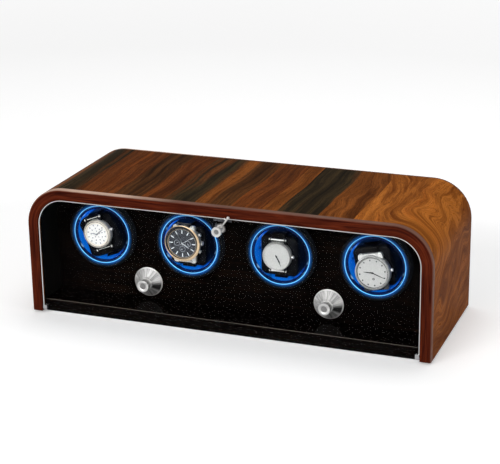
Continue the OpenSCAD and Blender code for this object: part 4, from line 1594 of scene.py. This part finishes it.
@dataclass
class Strap:
    """A leather strap from one spring bar round the cushion to the other."""

    seat: Seat
    look: WatchLook
    leather: bpy.types.Material
    thread: bpy.types.Material
    stitches: StitchLine
    thick: float = 2.0 * MM
    thin_case: float = 1.0 * MM
    half_height: float = 29 * MM
    depth: float = 54 * MM
    corner: float = 8 * MM

    def half_path(self, side: int) -> list[Vector]:
        """The middle line from a spring bar to the middle of the cushion's rear, in the YZ plane.

        Args:
            side: 1 for the upper half of the strap and -1 for the lower.

        Returns:
            The points, drawn as if for the upper half.
        """
        grow = self.thick / 2 + 0.05 * MM
        r = self.corner + grow
        rise = self.half_height - self.corner
        look = self.look
        bar = Vector((-BAR_BACK, (side * look.rise + look.bar_rise) * MM))
        if look.face is Face.PLAIN:
            bar += Vector((self.thin_case, 0.0))
        middle = Vector((self.corner, rise))
        away = bar - middle
        first = math.atan2(away.y, away.x) - math.acos(min(1.0, r / away.length))
        points = [bar, bar.lerp(middle + r * Vector((math.cos(first), math.sin(first))), 0.5)]
        points += [middle + r * Vector((math.cos(a), math.sin(a)))
                   for a in (first + (math.pi / 2 - first) * i / 8 for i in range(9))]
        rear = Vector((self.depth - self.corner, rise))
        points += [rear + r * Vector((math.cos(a), math.sin(a)))
                   for a in (math.pi / 2 * (1 - i / 8) for i in range(9))]
        points.append(Vector((self.depth + grow, rise / 2)))
        return points

    def path(self) -> list[Vector]:
        """Follows the strap's middle line from the upper bar to the lower.

        Returns:
            The line's points, in the seat's frame.
        """
        back = self.seat.back()
        upper = [Vector((0, back + p.x, p.y)) for p in self.half_path(1)]
        lower = [Vector((0, back + p.x, -p.y)) for p in reversed(self.half_path(-1))]
        return upper + [Vector((0, upper[-1].y, 0))] + lower

    def build(self) -> list[bpy.types.Object]:
        """Builds the strap as a slightly domed band with rounded edges, and its stitches.

        Returns:
            The strap and its stitches.
        """
        n, x = self.seat.number, self.look.aside * MM
        half = self.look.strap_width * MM / 2 - 0.15 * MM
        line = self.path()
        mesh = Mesh(f"leather_strap_{n}")
        rows = []
        seams: list[list[Vector]] = [[], []]
        section = [(-1, -0.45), (-1, 0.15), (-0.93, 0.36), (-0.8, 0.40), (-0.5, 0.5), (0.5, 0.5),
                   (0.8, 0.40), (0.93, 0.36), (1, 0.15), (1, -0.45)]
        for i, point in enumerate(line):
            ahead = (line[min(i + 1, len(line) - 1)] - line[max(i - 1, 0)]).normalized()
            out = Vector((0, ahead.z, -ahead.y))
            rows.append(mesh.ring([
                Vector((x + side * half, point.y, point.z)) + out * lift * self.thick
                for side, lift in section
            ]))
            for seam, side in zip(seams, (-1, 1)):
                seam.append(Vector((x + side * half * 0.8, point.y, point.z)) + out * 0.42 * self.thick)
        mesh.bar(rows)
        strap = mesh.done(self.leather)
        thread = self.stitches.build(f"strap_stitches_{n}", [seam[1:-1] for seam in seams], 2.4 * MM,
                                     (0.35 * MM, 0.3 * MM, 1.5 * MM), self.thread)
        for piece in (strap, thread):
            self.seat.settle(piece, "black_leather")
        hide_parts(f"watch_strap_{n}")
        return [strap, thread]


@dataclass
class GlassDoor:
    """A bright strip along the glass's front edge, a painted highlight."""

    edge: bpy.types.Material
    corner: float = 36 * MM
    width: float = 0.8 * MM
    proud: float = 0.06 * MM
    clip_height: float = 7 * MM
    steps: int = 24

    def outline(self, inset: float) -> list[tuple[float, float]]:
        """The pane's edge from the lower left, over the top, to the lower right.

        Args:
            inset: How far inside the edge it runs.

        Returns:
            Pairs of X and Z.
        """
        low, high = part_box("glass_door")
        r = self.corner - inset
        left, right, top = low.x + inset, high.x - inset, high.z - inset
        points = [(left, low.z + self.clip_height)]
        for start, cx in ((180, left + r), (90, right - r)):
            for i in range(self.steps + 1):
                a = math.radians(start - 90 * i / self.steps)
                points.append((cx + r * math.cos(a), top - r + r * math.sin(a)))
        points.append((right, low.z + self.clip_height))
        return points

    def build(self) -> bpy.types.Object:
        """Builds the edge as a thin strip along the pane's front arris.

        Returns:
            The strip.
        """
        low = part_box("glass_door")[0]
        mesh = Mesh("glass_edge_highlight_strip")
        outer, inner = self.outline(0.0), self.outline(self.width)
        front = low.y - self.proud
        sections = [(outer, low.y + 0.9 * MM), (outer, front + 0.2 * MM), (outer, front),
                    (inner, front), (inner, low.y + 0.9 * MM)]
        mesh.bar([mesh.ring([Vector((line[i][0], y, line[i][1])) for line, y in sections])
                  for i in range(len(outer))])
        piece = mesh.done(self.edge)
        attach(piece, "door")
        return piece


def each(name: str, count: int = 4) -> tuple[str, ...]:
    """The names of numbered solids."""
    return tuple(f"{name}_{n}" for n in range(1, count + 1))


def pair(name: str) -> tuple[str, str]:
    """The names of a left and a right solid."""
    return f"{name}_left", f"{name}_right"


@dataclass
class Casework:
    """Every fixed or turning piece whose solid already has its true shape."""

    nodes: dict[str, bpy.types.Object]
    corner: float = 51 * MM
    ring_wall: float = 2.5 * MM
    bezel_wall: float = 6.0 * MM
    glow_depth: float = 45 * MM

    def lit(self) -> list[tuple[Finish, tuple[str, ...]]]:
        """Lists the finishes that glow blue: the light ring's own light, and painted glow on the bezels and
        cups.

        Returns:
            Each finish with its solids' names.
        """
        cup_low, cup_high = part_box("drum_cup_3")
        pitch, axis_z = cup_low.x + cup_high.x, (cup_low.z + cup_high.z) / 2
        ring_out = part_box("light_rings")[1].x - 3 * pitch / 2
        # Painted glow on the bezels, fading outward from the ring, with a faint painted highlight at their
        # outer edge.
        bezel = ((0.0, "07346c"), (0.12, "062c58"), (0.3, "041c38"), (0.45, "04101e"), (0.6, "05070a"),
                 (0.88, "07090c"), (1.0, "101216"))
        ring = ((0.0, "041638"), (0.24, "06245c"), (0.32, "64b8ee"), (0.58, "64b8ee"), (0.68, "0c4c92"),
                (1.0, "083c7a"))
        # Painted glow inside the cups, brightest near their front.
        cup = ((0.0, "04163e"), (0.02, "04163e"), (0.04, "0c70dc"), (0.3, "0a64d0"), (0.65, "0a56c0"),
               (1.0, "062e78"))
        return [
            (DrumGlow("bezel_painted_glow", GlowRun.OUTWARD, ring_out, ring_out + self.bezel_wall, bezel,
                      pitch, axis_z, 0.7, 0.2, gloss=0.1), ("drum_bezels",)),
            (DrumGlow("blue_light", GlowRun.OUTWARD, ring_out - self.ring_wall, ring_out, ring,
                      pitch, axis_z, 0.42, 0.2, patchy=0.1), ("light_rings",)),
            (DrumGlow("drum_blue", GlowRun.INWARD, cup_low.y, cup_low.y + self.glow_depth, cup,
                      pitch, axis_z, 0.7, 0.16, 0.7, patchy=0.85, painted_glints=0.7), each("drum_cup")),
        ]

    def timber(self) -> list[tuple[Finish, tuple[str, ...]]]:
        """Lists the wood and lacquer finishes.

        Returns:
            Each finish with its solids' names.
        """
        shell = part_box("case_shell")[1]
        wall = (shell.x - self.corner, self.corner, shell.z)
        return [
            (WalnutVeneer(*wall), ("case_shell",)),
            (EdgeBand(*wall), ("front_edge_band", "rear_edge_band")),
            (PlainWood("batten_wood", tint("b08a5a"), tint("8a6238")), ("corner_battens",)),
            (GrainedLacquer("black_lacquer", 0.012), ("fascia_panel",)),
            (GrainedLacquer("floor_lacquer", 0.05, 0.05, "0a0604"), ("base_board",)),
            # Painted reflection: the lining's grey-green grain tone stands partly for a reflection, over a
            # trace of real grain.
            (GrainedLacquer("lining_lacquer", 0.1, 0.4, "181b16"), ("recess_lining",)),
        ]

    def metalwork(self) -> list[tuple[Finish, tuple[str, ...]]]:
        """Lists the metal finishes.

        Returns:
            Each finish with its solids' names.
        """
        knob_low, knob_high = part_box("selector_knob_right")
        latch_low, latch_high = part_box("latch_bushing")
        return [
            (Metal("screw_steel", (0.62, 0.62, 0.64), 0.3),
             ("foot_screws", "back_panel_screws", "drive_frame_screws", *each("drum_spindle"))),
            (Metal("frame_aluminium", (0.66, 0.67, 0.69), 0.4), pair("drive_frame")),
            (Metal("bearing_brass", (0.72, 0.52, 0.24), 0.32), ("spindle_bearings",)),
            (Metal("motor_steel", (0.45, 0.46, 0.48), 0.38), pair("gear_motor")),
            (Metal("polished_metal", (0.68, 0.68, 0.69), 0.16, 0.01), ("hinge_pins", "hinge_clips")),
            # Painted shade: the latch bushing's steel is darkened.
            (Metal("dark_steel_painted_shade", (0.22, 0.21, 0.21), 0.24), ("latch_bushing",)),
            (Metal("blackened_steel", (0.10, 0.10, 0.11), 0.3), ("latch_strike", "latch_cam")),
            (SpunMetal("spun_aluminium", (0.60, 0.575, 0.555), knob_low.x + knob_high.x,
                       (knob_low.z + knob_high.z) / 2), pair("selector_knob")),
            (SpunMetal("turned_steel", (0.80, 0.79, 0.77), 1.0, (latch_low.z + latch_high.z) / 2, -0.5,
                       9 * MM, 7 * MM, 3.4 * MM), ("door_knob",)),
        ]

    def plastics(self) -> list[tuple[Finish, tuple[str, ...]]]:
        """Lists the moulded, rubber and glass finishes.

        Returns:
            Each finish with its solids' names.
        """
        return [
            (Moulding("nylon", tint("e2ddcf"), 0.42), (*pair("drive_pinion"), *each("drum_gear"))),
            (Moulding("foot_rubber", tint("1b1b1b"), 0.8, 0.2, 1500, 0.3), ("rubber_feet",)),
            (Moulding("black_board", tint("1a1716"), 0.6, 0.2, 1400, 0.25), ("back_panel",)),
            (Moulding("board_green", tint("1c5a34"), 0.4), ("led_boards", "control_board")),
            (Moulding("black_plastic", tint("17171a"), 0.5, 0.3, 1200, 0.2),
             ("selector_switches", "dc_inlet")),
            (Clear("clear_glass", 1.05), ("glass_door",)),
        ]

    def build(self) -> None:
        """Dresses each solid."""
        for finish, names in self.timber() + self.lit() + self.metalwork() + self.plastics():
            material = finish.build()
            for name in names:
                slots = self.nodes[name].data.materials
                slots.clear()
                slots.append(material)

    def floor_edge(self, finish: bpy.types.Material) -> bpy.types.Object:
        """Makes a thin pale strip along the front of the display floor, a painted highlight on its edge.

        Args:
            finish: Its material.

        Returns:
            The strip.
        """
        low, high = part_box("base_board")
        mesh = Mesh("floor_edge_highlight_strip")
        side, proud, down, back = 2.0 * MM, 0.05 * MM, 0.35 * MM, 0.45 * MM
        section = [(low.y - proud, high.z - down), (low.y - proud, high.z - 0.1 * MM),
                   (low.y + 0.1 * MM, high.z + proud), (low.y + back, high.z + proud),
                   (low.y + back, high.z - down)]
        ends = (low.x + side, high.x - side)
        mesh.bar([mesh.ring([Vector((x, y, z)) for y, z in section]) for x in ends])
        piece = mesh.done(finish)
        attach(piece, "case")
        return piece


@dataclass
class Studio:
    """The floor, the world, the lamps and the camera."""

    camera_place: tuple[float, float, float] = (0.67756, -1.76819, 0.77180)
    azimuth: float = 20.880
    elevation: float = 19.256
    roll: float = -0.825
    lens: float = 111.36
    stand: tuple[float, float] = (0.27, 0.10)
    ambient: float = 0.38
    floor_half: float = 8.0
    floor_z: float = -0.0002

    def camera(self) -> None:
        """Makes the camera."""
        a, e, r = (math.radians(v) for v in (self.azimuth, self.elevation, self.roll))
        back = Vector((math.sin(a) * math.cos(e), -math.cos(a) * math.cos(e), math.sin(e)))
        right = (-back).cross(Vector((0, 0, 1))).normalized()
        up = right.cross(-back)
        turned_right = right * math.cos(r) + up * math.sin(r)
        turned_up = up * math.cos(r) - right * math.sin(r)
        data = bpy.data.cameras.new("camera")
        data.lens, data.sensor_width = self.lens, 36.0
        data.clip_start, data.clip_end = 0.05, 50
        camera = bpy.data.objects.new("camera", data)
        frame = Matrix((turned_right, turned_up, back)).transposed().to_4x4()
        camera.matrix_world = Matrix.Translation(self.camera_place) @ frame
        bpy.context.scene.collection.objects.link(camera)
        bpy.context.scene.camera = camera

    def lamp(self, name: str, place: tuple[float, float, float], aim: tuple[float, float, float],
             size: tuple[float, float], power: float) -> None:
        """Makes a rectangular lamp.

        Args:
            name: Its name.
            place: Where it is.
            aim: What it points at.
            size: Its width and height.
            power: Its power, in watts.
        """
        data = bpy.data.lights.new(name, "AREA")
        data.shape, data.size, data.size_y, data.energy = "RECTANGLE", size[0], size[1], power
        lamp = bpy.data.objects.new(name, data)
        lamp.location = place
        lamp.rotation_mode = "QUATERNION"
        lamp.rotation_quaternion = (Vector(aim) - Vector(place)).to_track_quat("-Z", "Y")
        bpy.context.scene.collection.objects.link(lamp)

    def world(self) -> None:
        """Makes a world that looks white and lights softly."""
        world = bpy.data.worlds.new("world")
        bpy.context.scene.world = world
        world.use_nodes = True
        tree = world.node_tree
        tree.nodes.clear()
        path, total, seen, sky, out = (tree.nodes.new("ShaderNode" + kind) for kind in (
            "LightPath", "Math", "MapRange", "Background", "OutputWorld"))
        total.operation = "ADD"
        tree.links.new(path.outputs["Is Camera Ray"], total.inputs[0])
        tree.links.new(path.outputs["Is Transmission Ray"], total.inputs[1])
        tree.links.new(total.outputs[0], seen.inputs[0])
        seen.inputs["To Min"].default_value = self.ambient
        seen.inputs["To Max"].default_value = 1.0
        tree.links.new(seen.outputs[0], sky.inputs["Strength"])
        sky.inputs["Color"].default_value = (1, 1, 1, 1)
        tree.links.new(sky.outputs[0], out.inputs[0])

    def floor(self) -> None:
        """Makes a wide white floor that keeps the object's shadow, with painted shade: its white glow for
        camera rays is weakest round the object's footprint.
        """
        mesh = Mesh("studio_floor")
        corners = ((-1, -1), (1, -1), (1, 1), (-1, 1))
        mesh.data.faces.new(mesh.ring([Vector((x * self.floor_half, y * self.floor_half, self.floor_z))
                                       for x, y in corners]))
        s = Shader("studio_white")
        body = s.surface(Base_Color=(0.9, 0.9, 0.9), Roughness=0.9, Emission_Color=(1.0, 1.0, 1.0),
                         Specular_IOR_Level=0.1)
        path = s.add("LightPath")
        x, y, _ = s.split(s.place())
        aside = s.most(s.minus(s.size(x), self.stand[0]), 0.0)
        ahead = s.most(s.minus(s.size(y), self.stand[1]), 0.0)
        away = s.length(aside, ahead)
        # Painted shade: the floor's white glow for camera rays is weakest at the object's footprint and grows
        # away from it.
        glow = s.most(s.span(away, 0.0, 0.42, 0.0, 0.4), s.span(away, 0.8, 4.0, 0.3, 0.8))
        s.feed(body.inputs["Emission Strength"], s.times(path.outputs["Is Camera Ray"], glow))
        mesh.done(s.material, smooth=False)

    def build(self) -> None:
        """Builds the studio."""
        self.camera()
        self.world()
        self.floor()
        self.lamp("key_lamp", (-0.5, -2.0, 1.3), (0, 0, 0.1), (1.3, 0.8), 24)
        self.lamp("side_lamp", (1.9, -0.5, 1.0), (0.1, 0, 0.1), (0.8, 1.2), 6)
        self.lamp("top_lamp", (0.1, 0.5, 2.2), (0, 0, 0.1), (1.4, 0.8), 12)
        bpy.context.scene.view_settings.view_transform = "Standard"


def watch_looks() -> list[WatchLook]:
    """The four watches, from left to right.

    Returns:
        A look for each watch.
    """
    return [
        WatchLook(
            Face.SPECKLED, case=19.2, dial_radius=15.2, bezel=4.0, rise=4.4, aside=1.7, turn=22,
            strap_width=17, lug=(2.4, 4.0), dial="dcd7d2", marks="72757f", hands="a4a6ab", rim="efe6d8",
            lug_tones=("1c1c1f", "1c1c1f"), hour=9.9, minute=2.3, bar_radius=1.3, bar_core=0.4),
        WatchLook(
            Face.CHRONOGRAPH, case=22.0, dial_radius=19.4, bezel=4.8, rise=7.0, aside=-2.0, turn=0,
            strap_width=18, lug=(5.4, 4.2), dial="37383d", marks="e8eaec", hands="f2f3f4", rim="dabd98",
            lug_tones=("eeede8", "eeede8"), hour=4.1, minute=11.1, second=1.9, tips=(-4.2, 2.4)),
        WatchLook(
            Face.PLAIN, case=18.6, dial_radius=17.2, bezel=1.4, rise=2.6, aside=0.0, turn=0,
            strap_width=17, lug=(1.8, 4.0), dial="b6b2ae", marks="6a6c70", hands="2a2b2e", rim="c4c1bd",
            lug_tones=("222326", "222326"), hour=4.9, minute=5.1, bar_radius=1.0, bar_core=1.0),
        # Painted shade: this watch's lower lugs are a darker copy of the steel of its upper lugs.
        WatchLook(
            Face.DOTTED, case=22.4, dial_radius=19.9, bezel=2.5, rise=-3.8, aside=0.0, turn=12,
            strap_width=20, lug=(5.0, 3.0), dial="b4b0ac", marks="202124", hands="1e1f22", rim="e6e4e0",
            lug_tones=("e4e3e0", "3c3d40"), hour=9.4, minute=4.05, tips=(-1.8, -0.8)),
    ]


def main() -> None:
    """Builds every sub-assembly."""
    logging.basicConfig(level=logging.INFO, format="%(message)s")
    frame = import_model()
    Studio().build()
    casework = Casework(frame["nodes"])
    casework.build()
    LOG.info("casework dressed: %d solids", len(frame["nodes"]))
    # Painted highlight: a pale strip stands for the light caught along the glass's front edge.
    edge = Moulding("painted_edge_highlight", (0.85, 0.86, 0.85), 0.15, 0.5).build()
    # Painted highlight: a greyish strip along the floor's front edge.
    arris = Moulding("painted_arris_highlight", tint("5a524c"), 0.2, 0.5).build()
    LOG.info("made %s", GlassDoor(edge).build().name)
    LOG.info("made %s", casework.floor_edge(arris).name)
    pattern, stitches = RingPattern(), StitchLine()
    crystal = Clear("watch_crystal", 1.1).build()
    # The dark finish of the bezel lines, the inlay and the inner rings, which on one end link is painted
    # shade.
    dark = Moulding("dark_finish_and_painted_shade", tint("15161a"), 0.35).build()
    strap_leather = Leather("strap_leather", (0.004, 0.0038, 0.0038), 0.4).build()
    thread = Moulding("strap_thread", tint("2b2a2c"), 0.7, 0.2, 3000, 0.3).build()
    cushions = Cushion(Leather("black_leather", (0.0022, 0.0024, 0.0036)).build())
    template = cushions.template()
    for number, look in enumerate(watch_looks(), start=1):
        seat = Seat(number, look.turn)
        cushion = cushions.build(seat, template)
        Strap(seat, look, strap_leather, thread, stitches).build()
        pieces = Watch(seat, look, pattern, crystal, dark).build()
        LOG.info("made %s, its strap and %d pieces of its watch", cushion.name, len(pieces))


if __name__ == "__main__":
    main()
